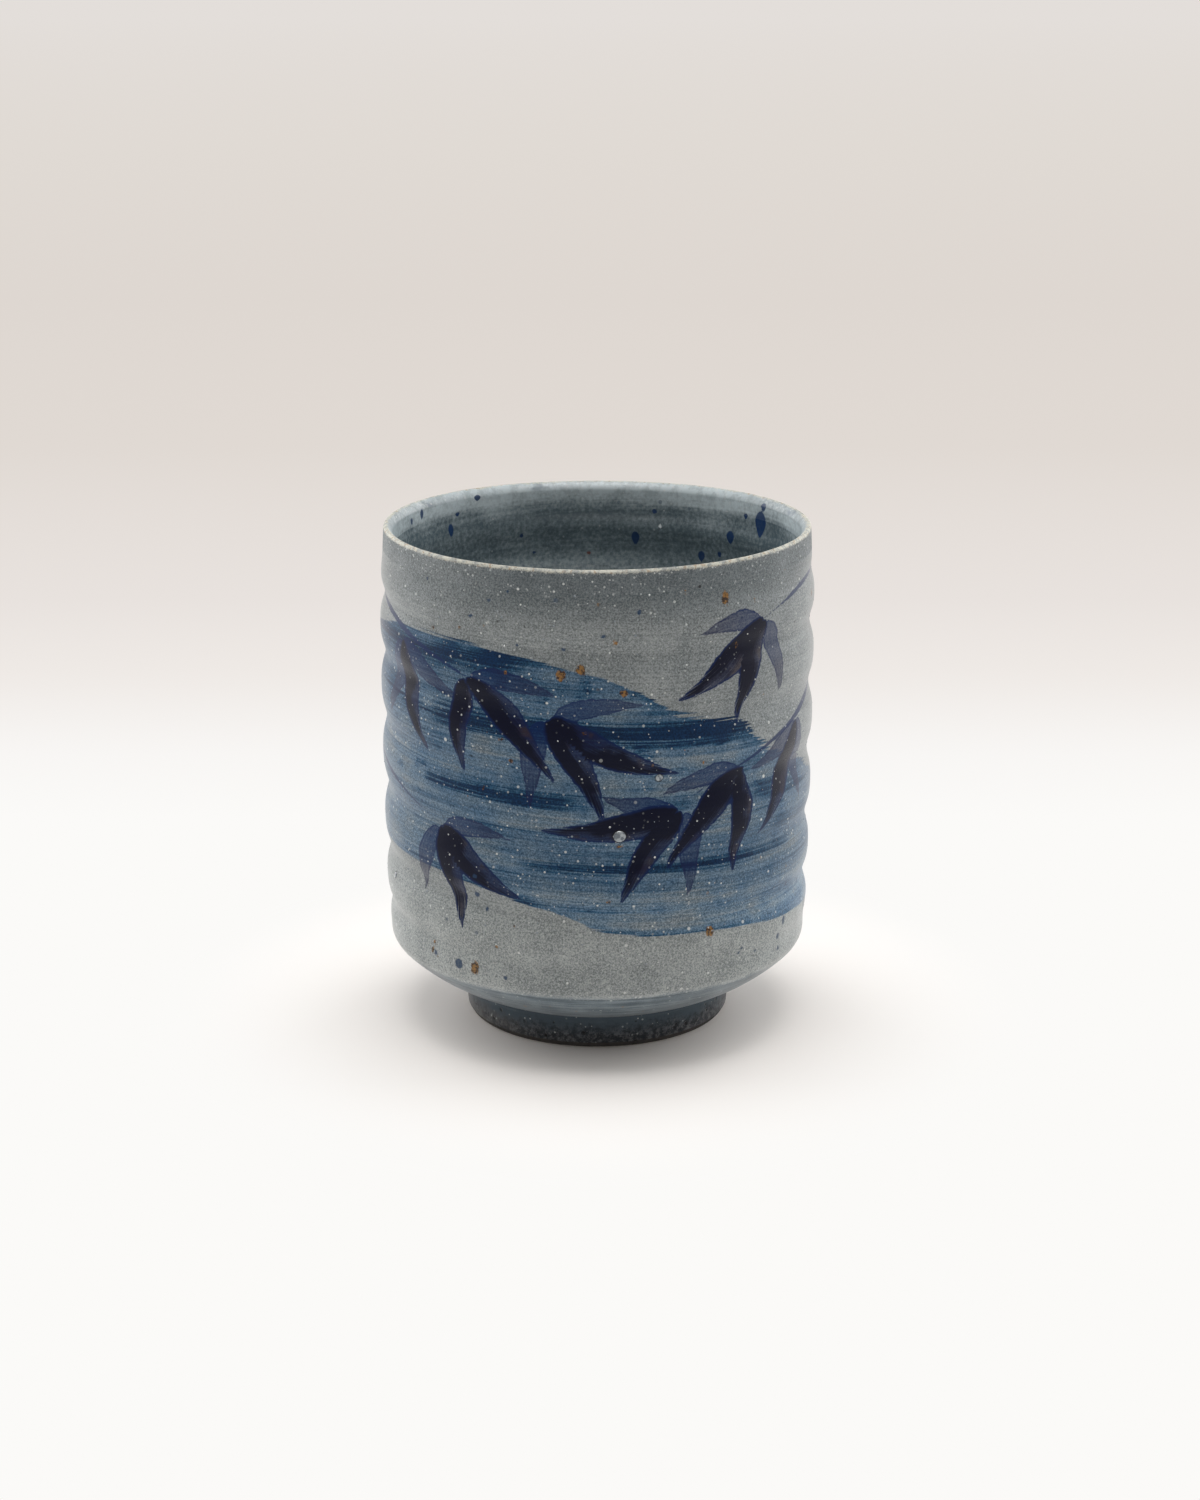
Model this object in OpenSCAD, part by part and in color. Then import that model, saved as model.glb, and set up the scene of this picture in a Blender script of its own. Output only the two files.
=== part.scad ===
// A yunomi: a tall tea cup without a handle, thrown on the wheel, turned to a foot ring and glazed.
// Millimetres, +Z up. The origin is the centre of the circle on which the foot ring rests.
// The clay is one fired body, drawn as wall, floor and foot ring, the three steps in which it is made.
// Each coat of glaze lies on the clay that carries it, and the coats meet each other end to end.

/* [Cup] */
// Height from the table to the top of the lip
cup_h = 90; // [84:0.5:100]
// Diameter of the wall at its fullest, midway between crest and trough of the throwing ridge
belly_d = 76.4; // [74:0.2:82]
// Height of the fullest part above the table
belly_h = 65; // [50:1:72]
// How far the wall draws in from the belly to the lip, on each side
lip_draw_in = 0.5; // [0:0.05:2]
// How far the wall draws in from the belly to the shoulder, on each side
shoulder_draw_in = 0.65; // [0:0.05:2]
// Height at which the wall stands upright above the shoulder
shoulder_h = 16.3; // [14.5:0.1:18]

/* [Wall] */
// Width of the rounded lip, with its glaze
lip_w = 1.8; // [1.5:0.1:2.6]
// Width of the lip's outer edge, from the wall's face to the highest line of the lip
lip_edge_w = 0.6; // [0.55:0.05:0.8]
// Height of the lip's outer edge
lip_edge_h = 0.65; // [0.55:0.05:1]
// Height over which the lip rolls over into the cup
lip_roll_h = 1.5; // [1:0.1:2]
// Thickness of the wall just above the floor, with its glazes
wall_w = 3.4; // [2.6:0.1:4.6]
// Radius of the hollow corner between the wall and the floor
corner_r = 10; // [6:0.5:14]
// Thickness of the clay floor
floor_t = 4.6; // [3.6:0.1:5.6]
// Radius of the rounded corner of the shoulder
shoulder_r = 3.5; // [2:0.1:5]
// Slope of the turned underside where it runs into the shoulder, in degrees from level
under_slope = 45; // [42:1:55]

/* [Throwing ridge] */
// Rise of the spiral ridge in one turn of the wheel
ridge_pitch = 11.1; // [8:0.1:14]
// Height of a crest above the middle surface of the wall
ridge_h = 0.34; // [0.1:0.02:0.6]
// How far the ridge strays up and down from an even rise, as a hand moves slower and faster
ridge_stray = 1.2; // [0:0.1:2]
// Turn of the ridge about the cup, in degrees
ridge_turn = 8; // [0:1:359]
// Height over which the ridge dies out below the lip and above the shoulder
ridge_fade = 7; // [3:0.5:15]
// Height of the smooth band under the lip, where the rim was compressed
rim_band_h = 4; // [3:0.5:8]

/* [Finger rings] */
// Depth of the rings that the fingers press into the inside of the wall
finger_h = 0.28; // [0.1:0.02:0.4]
// How far the uppermost of their hollows lies below the smooth band under the lip
finger_drop = 9.2; // [4:0.2:12]

/* [Foot] */
// Height of the foot ring
foot_h = 6; // [4.6:0.1:7.4]
// Diameter of the foot ring at the table
foot_d = 47.4; // [44:0.1:52]
// How far the foot ring flares out from the table to the underside, on each side
foot_flare = 0.55; // [0:0.05:1.5]
// Width of the foot ring at the table
foot_w = 3.1; // [2.4:0.1:4.2]
// How far the hollow under the cup draws in from the table to its roof, on each side
well_draw_in = 0.8; // [0:0.1:1.6]
// Radius of the worn edges on which the foot ring stands
foot_edge_r = 0.6; // [0.3:0.1:1]

/* [Glaze] */
// Thickness of the fired glaze
glaze_t = 0.35; // [0.2:0.05:0.5]
// Height of the bare band of clay that is wiped clean above the table
bare_h = 1; // [0.6:0.1:2]
// Radius to which the glaze fills the corner under the roof of the foot
well_fill_r = 1.2; // [0.6:0.1:2.4]

/* [Surface] */
// Sides of the thrown surface, round the cup
turn_sides = 48; // [32:4:48]
// Rows of the thrown surface, from the shoulder to the band under the lip
wall_rows = 42; // [30:1:42]
// Rows of the inside of the wall, from the hollow corner to the band under the lip
inner_rows = 40; // [32:1:48]
// Steps of each rounded corner
corner_steps = 8; // [4:1:10]

/* [Hidden] */
$fn = 96;

// One overrun serves every cut
cut_over = 1;
// Crests are broader than troughs: the share of the second wave that flattens them
crest_flat_share = 0.2;
// Directions, in degrees, at which the two rounded feather edges of the clay are left blunt
corner_start = -80;
lip_end = 100;
// The clay's corners lie under glaze, so they have fewer steps
clay_steps = 3;
// Rows of the smooth band under the lip
band_rows = 2;

// The rounded lip is cut close on its outer edge and rolls over further inside
lip_out_r = belly_d / 2 - lip_draw_in;
lip_top_r = lip_out_r - lip_edge_w;
lip_roll_w = lip_w - lip_edge_w;
lip_z = cup_h - lip_edge_h;
lip_roll_z = cup_h - lip_roll_h;

// The thrown surface runs from the shoulder to the smooth band under the lip
wall_low = shoulder_h;
wall_high = cup_h - rim_band_h;
wall_mid = (wall_low + wall_high) / 2;
wall_run = wall_high - wall_low;

// The floor and the hollow corner round it
shoulder_out_r = belly_d / 2 - shoulder_draw_in;
floor_z = foot_h + floor_t + glaze_t;
clay_floor_z = floor_z - glaze_t;
corner_mid_r = shoulder_out_r - wall_w - corner_r;
corner_z = floor_z + corner_r;

// The turned underside is one wide arc from the foot ring to the shoulder's rounded corner
foot_top_r = foot_d / 2 + foot_flare;
shoulder_mid_r = shoulder_out_r - shoulder_r;
under_end = under_slope - 90;
under_end_r = shoulder_mid_r + shoulder_r * cos(under_end);
under_end_z = shoulder_h + shoulder_r * sin(under_end);
chord_r = under_end_r - foot_top_r;
chord_z = under_end_z - foot_h;
chord_slope = atan2(chord_z, chord_r);
under_start = 2 * chord_slope - under_slope - 90;
under_r = norm([chord_r, chord_z]) / (2 * sin((under_end - under_start) / 2));
under_mid_r = under_end_r - under_r * cos(under_end);
under_mid_z = under_end_z - under_r * sin(under_end);
under_split = asin((clay_floor_z - under_mid_z) / (under_r - glaze_t));

// The hollow inside the foot ring
foot_clay_r = foot_d / 2 - glaze_t;
well_r = foot_clay_r - foot_w;
well_roof_r = well_r - well_draw_in;

// Points of an arc in the [radius, height] plane
function arc(mid_r, mid_z, r, from, to, steps = corner_steps) = [
    for (i = [0:steps])
        let (a = from + (to - from) * i / steps)
        [mid_r + r * cos(a), mid_z + r * sin(a)]
];

function smooth(x) = let (s = max(0, min(1, x))) s * s * (3 - 2 * s);

// Radius of the glazed wall without its ridge: full at the belly, drawn in to the shoulder and the lip
function wall_r(z) = z < belly_h
    ? belly_d / 2 - shoulder_draw_in * pow((belly_h - z) / (belly_h - shoulder_h), 2)
    : belly_d / 2 - lip_draw_in * pow((z - belly_h) / (lip_z - belly_h), 3);

// The throwing ridge: one left-handed spiral that the potter's fingers leave as they rise
function ridge_phase(z, a) =
    let (strayed = z - ridge_stray * sin(360 * (z - wall_mid) / wall_run))
    360 * strayed / ridge_pitch + a + ridge_turn;
function ridge_wave(t) = (cos(t) - crest_flat_share * cos(2 * t)) / (1 - crest_flat_share);
function ridge(z, a) =
    ridge_h * smooth((z - wall_low) / ridge_fade) * smooth((wall_high - z) / ridge_fade)
    * ridge_wave(ridge_phase(z, a));

// Outlines in the [radius, height] plane, each sunk by a depth below the glazed surface
function wall_line(low, high, rows, depth) = [
    for (i = [0:rows])
        let (z = low + (high - low) * i / rows)
        [wall_r(z) - depth, z]
];
function under_line(from, depth) = arc(under_mid_r, under_mid_z, under_r - depth, from, under_end);
function shoulder_line(depth) = arc(shoulder_mid_r, shoulder_h, shoulder_r - depth, under_end, 0);
function lip_line(from, to, depth, steps = corner_steps) = [
    for (i = [0:steps])
        let (
            a = from + (to - from) * i / steps,
            wide = a < 90 ? lip_edge_w : lip_roll_w,
            high = a < 90 ? lip_edge_h : lip_roll_h
        )
        [lip_top_r + (wide - depth) * cos(a), cup_h - high + (high - depth) * sin(a)]
];
function corner_line(from, depth) = arc(corner_mid_r, corner_z, corner_r + depth, from, 0);
function foot_side_r(z) = foot_d / 2 + foot_flare * z / foot_h;
function inner_r(z) =
    let (low_r = corner_mid_r + corner_r, high_r = lip_out_r - lip_w)
    low_r + (high_r - low_r) * (z - corner_z) / (lip_roll_z - corner_z);

// Finger rings inside: hollows one rise of the ridge apart, that die out as the ridge outside does
function finger(z) =
    finger_h * smooth((z - corner_z) / ridge_fade) * smooth((wall_high - z) / ridge_fade)
    * ridge_wave(360 * (z - wall_high + finger_drop) / ridge_pitch);
function inner_line(depth) = [
    for (i = [0:inner_rows])
        let (z = corner_z + (wall_high - corner_z) * i / inner_rows)
        [inner_r(z) + finger(z) + depth, z]
];

function reversed(list) = [for (i = [len(list) - 1:-1:0]) list[i]];
function without_first(list) = [for (i = [1:len(list) - 1]) list[i]];

// One ring of points on the thrown surface for each [radius, height] pair
function thrown_points(line) = [
    for (p = line)
        for (i = [0:turn_sides - 1])
            let (a = 360 * i / turn_sides, r = p[0] + ridge(p[1], a))
            [r * cos(a), r * sin(a), p[1]]
];

// Two triangles for each cell between neighbouring rings, facing out of the cup or into it
function thrown_faces(first, rings, outward) = [
    for (j = [0:rings - 2])
        for (i = [0:turn_sides - 1])
            let (
                a = first + j * turn_sides + i,
                b = first + j * turn_sides + (i + 1) % turn_sides,
                c = b + turn_sides,
                d = a + turn_sides
            )
            each outward ? [[a, d, c], [a, c, b]] : [[a, c, d], [a, b, c]]
];

// A ring of cells that closes a coat between its outer and its inner surface
function edge_faces(outer, inner, upward) = [
    for (i = [0:turn_sides - 1])
        let (
            a = outer + i,
            b = outer + (i + 1) % turn_sides,
            c = inner + (i + 1) % turn_sides,
            d = inner + i
        )
        upward ? [d, c, b, a] : [a, b, c, d]
];

// The thrown clay as a solid lump, from the top of the floor to the top of the lip
clay_line = concat(
    arc(under_mid_r, under_mid_z, under_r - glaze_t, under_split, under_end, clay_steps),
    without_first(arc(shoulder_mid_r, shoulder_h, shoulder_r - glaze_t, under_end, 0, clay_steps)),
    without_first(wall_line(wall_low, wall_high, wall_rows, glaze_t)),
    without_first(wall_line(wall_high, lip_z, band_rows, glaze_t)),
    without_first(lip_line(0, 90, glaze_t, clay_steps))
);

module thrown_lump() {
    rings = len(clay_line);
    low_cap = [for (i = [0:turn_sides - 1]) i];
    high_cap = [for (i = [turn_sides - 1:-1:0]) (rings - 1) * turn_sides + i];
    polyhedron(
        points = thrown_points(clay_line),
        faces = concat([low_cap], thrown_faces(0, rings, true), [high_cap])
    );
}

// The hollow that opening and pulling the clay leaves, up through the lip
module thrown_hollow() {
    corner = corner_line(corner_start, glaze_t);
    lip = lip_line(180, lip_end, glaze_t);
    rotate_extrude()
        polygon(concat(
            [[0, clay_floor_z - cut_over], [corner[0][0], clay_floor_z - cut_over]],
            corner,
            without_first(inner_line(glaze_t)),
            lip,
            [[lip[corner_steps][0], cup_h + cut_over], [0, cup_h + cut_over]]
        ));
}

module clay_wall() {
    color("#a79f8e")
        difference() {
            thrown_lump();
            thrown_hollow();
        }
}

// The floor is the clay that is left under the hollow, with the underside turned away round it
module clay_floor() {
    under = arc(under_mid_r, under_mid_z, under_r - glaze_t, under_start, under_split);
    color("#9c9484")
        rotate_extrude()
            polygon(concat(
                [[0, foot_h], [foot_top_r - glaze_t, foot_h]],
                under,
                [[0, clay_floor_z]]
            ));
}

// The foot ring is turned from the same clay, and stands on a flat ring with worn edges
module foot_ring() {
    outer_edge = arc(foot_clay_r - foot_edge_r, foot_edge_r, foot_edge_r, -90, 0);
    inner_edge = arc(well_r + foot_edge_r, foot_edge_r, foot_edge_r, 180, 270);
    color("#6e655a")
        rotate_extrude()
            polygon(concat(
                outer_edge,
                [[foot_top_r - glaze_t, foot_h], [well_roof_r, foot_h]],
                inner_edge
            ));
}

// The outside coat follows the ridge at an even thickness
module outside_glaze() {
    outer = wall_line(wall_low, wall_high, wall_rows, 0);
    inner = wall_line(wall_low, wall_high, wall_rows, glaze_t);
    rings = wall_rows + 1;
    inner_first = rings * turn_sides;
    last = (rings - 1) * turn_sides;
    color("#6f7f92")
        polyhedron(
            points = concat(thrown_points(outer), thrown_points(inner)),
            faces = concat(
                thrown_faces(0, rings, true),
                thrown_faces(inner_first, rings, false),
                edge_faces(0, inner_first, false),
                edge_faces(last, inner_first + last, true)
            )
        );
}

// The coat over the lip, from the smooth band outside to the same height inside
module lip_glaze() {
    over = concat(
        wall_line(wall_high, lip_z, band_rows, 0),
        without_first(lip_line(0, 180, 0)),
        [[inner_r(wall_high), wall_high]]
    );
    under = concat(
        wall_line(wall_high, lip_z, band_rows, glaze_t),
        without_first(lip_line(0, 180, glaze_t)),
        [[inner_r(wall_high) + glaze_t, wall_high]]
    );
    color("#c4c0b2")
        rotate_extrude()
            polygon(concat(over, reversed(under)));
}

// The inside coat, from the lip's coat down the wall and across the floor
module inside_glaze() {
    corner = corner_line(corner_start, glaze_t);
    color("#6d7a80")
        rotate_extrude()
            polygon(concat(
                [[0, clay_floor_z], [corner[0][0], clay_floor_z]],
                corner,
                without_first(inner_line(glaze_t)),
                reversed(inner_line(0)),
                without_first(reversed(corner_line(-90, 0))),
                [[0, floor_z]]
            ));
}

// The coat over the shoulder, the turned underside and the side of the foot ring
module foot_glaze() {
    over = concat(
        [[foot_side_r(bare_h), bare_h]],
        under_line(under_start, 0),
        without_first(shoulder_line(0))
    );
    under = concat(
        [[foot_side_r(bare_h) - glaze_t, bare_h], [foot_top_r - glaze_t, foot_h]],
        under_line(under_start, glaze_t),
        without_first(shoulder_line(glaze_t))
    );
    color("#4c5a66")
        rotate_extrude()
            polygon(concat(over, reversed(under)));
}

// The coat in the hollow of the foot, which pools in the corner under its roof
module well_glaze() {
    side_r = well_r - well_draw_in * bare_h / foot_h;
    pool = arc(
        well_roof_r - glaze_t - well_fill_r, foot_h - glaze_t - well_fill_r, well_fill_r, 90, 0
    );
    color("#76828a")
        rotate_extrude()
            polygon(concat(
                [[0, foot_h], [0, foot_h - glaze_t]],
                pool,
                [[side_r - glaze_t, bare_h], [side_r, bare_h], [well_roof_r, foot_h]]
            ));
}

clay_wall();
clay_floor();
foot_ring();
outside_glaze();
lip_glaze();
inside_glaze();
foot_glaze();
well_glaze();
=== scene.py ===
import math

import bmesh
import bpy
import numpy as np
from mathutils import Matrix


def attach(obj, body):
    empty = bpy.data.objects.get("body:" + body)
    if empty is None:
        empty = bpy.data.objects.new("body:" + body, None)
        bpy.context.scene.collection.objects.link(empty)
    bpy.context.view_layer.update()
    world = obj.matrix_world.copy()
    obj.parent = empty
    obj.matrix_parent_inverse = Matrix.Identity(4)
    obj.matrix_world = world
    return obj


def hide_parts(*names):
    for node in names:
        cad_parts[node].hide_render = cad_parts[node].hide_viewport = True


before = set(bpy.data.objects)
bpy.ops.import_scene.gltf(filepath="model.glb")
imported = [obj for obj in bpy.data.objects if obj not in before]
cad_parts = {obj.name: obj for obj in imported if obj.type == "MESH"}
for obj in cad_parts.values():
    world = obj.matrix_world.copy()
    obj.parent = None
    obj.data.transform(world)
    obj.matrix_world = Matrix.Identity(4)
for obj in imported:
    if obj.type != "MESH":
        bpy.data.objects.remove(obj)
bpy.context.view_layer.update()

scene = bpy.context.scene

# The camera
# It stands where the photograph was taken: half a metre in front of the cup,
# a little above the lip and looking down at it.
CAMERA_PLACE = (0.0005, -0.5137, 0.2009)
LOOKS_DOWN_DEG = 16.58
FOCAL_MM = 71.53

camera = bpy.data.objects.new("camera", bpy.data.cameras.new("camera"))
scene.collection.objects.link(camera)
camera.location = CAMERA_PLACE
camera.rotation_euler = (math.radians(90 - LOOKS_DOWN_DEG), 0, 0)
camera.data.sensor_width = 36
camera.data.lens = FOCAL_MM
camera.data.clip_start = 0.01
scene.camera = camera
scene.view_settings.view_transform = "Standard"


# The table and the light
# A white table in a white tent, with a soft lamp overhead and a panel at each side. Past the
# cup's soft shadow the table passes into a warm pale backdrop.
TABLE_HALF = 12.0
TABLE_WHITE = (0.95, 0.91, 0.875, 1)
BACKDROP_FROM, BACKDROP_TO = 0.0, 0.08
SHADOW_FROM, SHADOW_TO = 0.026, 0.08
ROOM_LIGHT = (1.0, 0.95, 0.905, 1)
ROOM_STRENGTH = 0.34


class Term:
    """An output in a node tree. Sums and products of terms add Math nodes, so that a formula
    reads as one."""

    def __init__(self, tree, socket):
        self.tree = tree
        self.socket = socket

    def node(self, kind, inputs, **settings):
        return Term(self.tree, add_node(self.tree, kind, inputs, **settings).outputs[0])

    def maths(self, operation, *others):
        return self.node("ShaderNodeMath", dict(enumerate((self, *others))), operation=operation)

    def __add__(self, other):
        return self.maths("ADD", other)

    def __sub__(self, other):
        return self.maths("SUBTRACT", other)

    def __rsub__(self, other):
        return self.maths("MULTIPLY_ADD", -1.0, other)

    def __mul__(self, other):
        return self.maths("MULTIPLY", other)

    def __truediv__(self, other):
        return self.maths("DIVIDE", other)

    __radd__ = __add__

    def step(self, low, high):
        """0 below low and 1 above high, with a soft change between. Where low is the greater of
        the two, it is 1 below high and 0 above low."""
        ends = (low, high, 0.0, 1.0) if low < high else (high, low, 1.0, 0.0)
        inputs = {"Value": self, **dict(zip(("From Min", "From Max", "To Min", "To Max"), ends))}
        return self.node("ShaderNodeMapRange", inputs, interpolation_type="SMOOTHSTEP")

    def swing(self, width):
        """A noise measured from its middle, so that it sways half a width to either side of 0."""
        return (self - 0.5) * width


def add_node(tree, kind, inputs, **settings):
    node = tree.nodes.new(kind)
    for name, value in settings.items():
        setattr(node, name, value)
    for key, value in inputs.items():
        if isinstance(value, Term):
            tree.links.new(value.socket, node.inputs[key])
        else:
            node.inputs[key].default_value = value
    return node


def set_sockets(node, values):
    """Sets what is the same all over a surface on the shader's own sockets."""
    for name, value in values.items():
        node.inputs[name].default_value = value


def new_material(name):
    """A material with an empty Principled shader, and its tree."""
    material = bpy.data.materials.new(name)
    material.use_nodes = True
    return material, material.node_tree, material.node_tree.nodes["Principled BSDF"]


def object_place(tree):
    """The place on the piece in metres, and its three parts."""
    place = Term(tree, tree.nodes.new("ShaderNodeTexCoord").outputs["Object"])
    parts = add_node(tree, "ShaderNodeSeparateXYZ", {0: place})
    return (place, *(Term(tree, out) for out in parts.outputs))


def srgb(red, green, blue):
    """A colour as it is seen on a screen, from 0 to 255, in the light's own scale."""
    linear = [
        c / 12.92 if c <= 0.04045 else ((c + 0.055) / 1.055) ** 2.4
        for c in (red / 255, green / 255, blue / 255)
    ]
    return (*linear, 1)


def mesh_object(name, points, faces):
    mesh = bpy.data.meshes.new(name)
    mesh.from_pydata(points, [], faces)
    piece = bpy.data.objects.new(name, mesh)
    scene.collection.objects.link(piece)
    return piece


def seen_directly(tree):
    """1 for rays that show the backdrop itself, also in gloss or through glass, 0 for light."""
    path = tree.nodes.new("ShaderNodeLightPath").outputs
    seen = Term(tree, path["Is Camera Ray"])
    for name in ("Is Glossy Ray", "Is Transmission Ray"):
        seen = seen.maths("MAXIMUM", Term(tree, path[name]))
    return seen


def mix_shaders(tree, share, lit, shown, end):
    """Mixes the shader that is lit with the one that is shown by a share, at a tree's end."""
    both = add_node(tree, "ShaderNodeMixShader", {0: share})
    tree.links.new(lit.outputs[0], both.inputs[1])
    tree.links.new(shown.outputs[0], both.inputs[2])
    tree.links.new(both.outputs[0], tree.nodes[end].inputs["Surface"])


def ramp(share, stops):
    """Colours along a share from 0 to 1, as (place, colour)."""
    node = add_node(share.tree, "ShaderNodeValToRGB", {"Fac": share})
    while len(node.color_ramp.elements) < len(stops):
        node.color_ramp.elements.new(0.5)
    for element, (at, colour) in zip(node.color_ramp.elements, stops):
        element.position = at
        element.color = colour
    return Term(share.tree, node.outputs[0])


# Colours of the backdrop by how far it lies from the cup, as a share of BACKDROP_REACH. It is
# white by the cup and darkens to a warm grey far off, as painted shade. Behind the cup it begins
# at once, in front of it at FRONT_START, and to a side it comes up slowly.
BACKDROP_REACH, FRONT_START, SIDE_SHARE = 4.0, 0.3, 0.3
BACKDROP = [
    (0.027, srgb(251, 250, 248)), (0.040, srgb(248, 246, 244)), (0.057, srgb(239, 234, 230)),
    (0.078, srgb(232, 226, 222)), (0.135, srgb(224, 217, 211)), (0.230, srgb(222, 215, 209)),
    (0.430, srgb(224, 218, 212)), (0.900, srgb(227, 222, 218)),
]

table = mesh_object(
    "table",
    [(x * TABLE_HALF, y * TABLE_HALF, 0) for x, y in ((-1, -1), (1, -1), (1, 1), (-1, 1))],
    [(0, 1, 2, 3)],
)
table_paint, tree, shader = new_material("table_white")
set_sockets(shader, {"Base Color": TABLE_WHITE, "Roughness": 0.8, "Specular IOR Level": 0.1})
_, aside, behind, _ = object_place(tree)
reach = behind.maths("MAXIMUM", -FRONT_START - behind)
reach = reach.maths("MAXIMUM", aside.maths("ABSOLUTE") * SIDE_SHARE)
backdrop = add_node(tree, "ShaderNodeEmission", {"Color": ramp(reach / BACKDROP_REACH, BACKDROP)})
away = (aside * aside + behind * behind).maths("SQRT").step(SHADOW_FROM, SHADOW_TO)
blend = seen_directly(tree) * behind.step(BACKDROP_FROM, BACKDROP_TO).maths("MAXIMUM", away)
mix_shaders(tree, blend, shader, backdrop, "Material Output")
table.data.materials.append(table_paint)

world = bpy.data.worlds.new("room")
world.use_nodes = True
tree = world.node_tree
room = tree.nodes["Background"]
set_sockets(room, {"Color": ROOM_LIGHT, "Strength": ROOM_STRENGTH})
sky = add_node(tree, "ShaderNodeBackground", {"Color": BACKDROP[-1][1], "Strength": 1.0})
mix_shaders(tree, seen_directly(tree), room, sky, "World Output")
scene.world = world


def soft_lamp(name, place, aim, width, height, watts, only_in_gloss=False):
    """A flat lamp at a place that faces the point it aims at. Lengths are in metres."""
    lamp = bpy.data.objects.new(name, bpy.data.lights.new(name, "AREA"))
    lamp.data.shape = "RECTANGLE"
    lamp.data.size = width
    lamp.data.size_y = height
    lamp.data.energy = watts
    lamp.location = place
    way = [a - b for a, b in zip(aim, place)]
    level = math.hypot(way[0], way[1])
    lamp.rotation_euler = (math.atan2(level, -way[2]), 0, math.atan2(-way[0], way[1]))
    lamp.visible_camera = False
    lamp.visible_diffuse = not only_in_gloss
    scene.collection.objects.link(lamp)


soft_lamp("overhead", (0, 0.05, 1.3), (0, 0, 0), 1.0, 0.8, 7.4)
soft_lamp("left_panel", (-0.8, 0.5, 0.5), (0, 0, 0.05), 1.1, 0.9, 8.3)
soft_lamp("right_panel", (0.8, 0.5, 0.5), (0, 0, 0.05), 1.1, 0.9, 8.3)
# Two lamps that show only in gloss stand for the tent's bright roof
soft_lamp("front_lamp", (0, -1.0, 1.3), (0, 0, 0.09), 1.1, 0.5, 8, only_in_gloss=True)
soft_lamp("strip", (0, -0.4, 1.2), (0, 0, 0.09), 1.2, 0.3, 20, only_in_gloss=True)


# The clay under the glaze
# Grey iron-bearing stoneware, thrown and turned, then fired. The coats hide it,
# so it keeps the solids' own shape and gets only a plain speckled clay finish.
CLAY_DARK = srgb(104, 97, 88)
CLAY_LIGHT = srgb(150, 142, 128)


def noise(place, scale, detail=2.0, rough=0.5):
    """Smooth noise from 0 to 1 at a place. Scale is in waves to the metre."""
    inputs = {"Vector": place, "Scale": scale, "Detail": detail, "Roughness": rough}
    return place.node("ShaderNodeTexNoise", inputs)


def mix_colours(share, below, above, how="MIX"):
    """Colour above laid on colour below by a share, which is a term."""
    node = add_node(share.tree, "ShaderNodeMix", {}, data_type="RGBA", blend_type=how)
    for number, value in ((0, share), (6, below), (7, above)):
        socket = node.inputs[number]
        if isinstance(value, Term):
            share.tree.links.new(value.socket, socket)
        else:
            socket.default_value = value
    return Term(share.tree, node.outputs[2])


def finish_surface(shader, colour, roughness=None, relief=None, relief_mm=0.05):
    """Links a finish to the shader: colour, roughness, and a relief whose height of 1 is given
    in mm."""
    tree = colour.tree
    tree.links.new(colour.socket, shader.inputs["Base Color"])
    if roughness is not None:
        tree.links.new(roughness.socket, shader.inputs["Roughness"])
    if relief is not None:
        inputs = {"Height": relief, "Distance": relief_mm / 1000, "Strength": 1.0}
        bump = relief.node("ShaderNodeBump", inputs)
        tree.links.new(bump.socket, shader.inputs["Normal"])


clay, tree, shader = new_material("stoneware_clay")
place, _, _, _ = object_place(tree)
clay_grain = noise(place, 1400, 4)
clay_colour = mix_colours(clay_grain.step(0.3, 0.7), CLAY_DARK, CLAY_LIGHT)
finish_surface(shader, clay_colour, relief=clay_grain)
set_sockets(shader, {"Roughness": 0.85})
for node in ("clay_wall", "clay_floor"):
    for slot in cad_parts[node].material_slots:
        slot.material = clay


# The outside coat
# Grey feldspar glaze on the thrown wall, 0.35 mm thick. It follows the spiral ridge that the
# potter's fingers left, and carries a brushed cobalt wash with leaf sprays painted over it.
WALL_LOW, WALL_HIGH = 16.3, 86.0
LIP_Z = 89.35
BELLY_R, BELLY_Z = 38.2, 65.0
SHOULDER_IN, LIP_IN = 0.65, 0.5
COAT, SKIN_IN = 0.35, 0.1
WALL_SIDES, WALL_ROWS, BACK_ROWS = 440, 200, 24
SHARP_DEG, RIDGE_PITCH = 50, 11.1
# Heights in mm over which the cup goes out of round and the lip begins to dip
WAVER_GROWS, DIP_GROWS = (30, 88), (82, 89)


def wall_r(z):
    """Radius of the glazed wall without its ridge, as the solids have it."""
    z = np.asarray(z, float)
    below = BELLY_R - SHOULDER_IN * ((BELLY_Z - z) / (BELLY_Z - WALL_LOW)) ** 2
    above = BELLY_R - LIP_IN * (np.maximum(z - BELLY_Z, 0) / (LIP_Z - BELLY_Z)) ** 3
    return np.where(z < BELLY_Z, below, above) - SKIN_IN


def ring_points(r, z, sides):
    """The points of a circle round the cup's axis, from its radius and height in mm."""
    turns = (2 * math.pi * i / sides for i in range(sides))
    return [(r * math.cos(a) / 1000, r * math.sin(a) / 1000, z / 1000) for a in turns]


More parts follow.
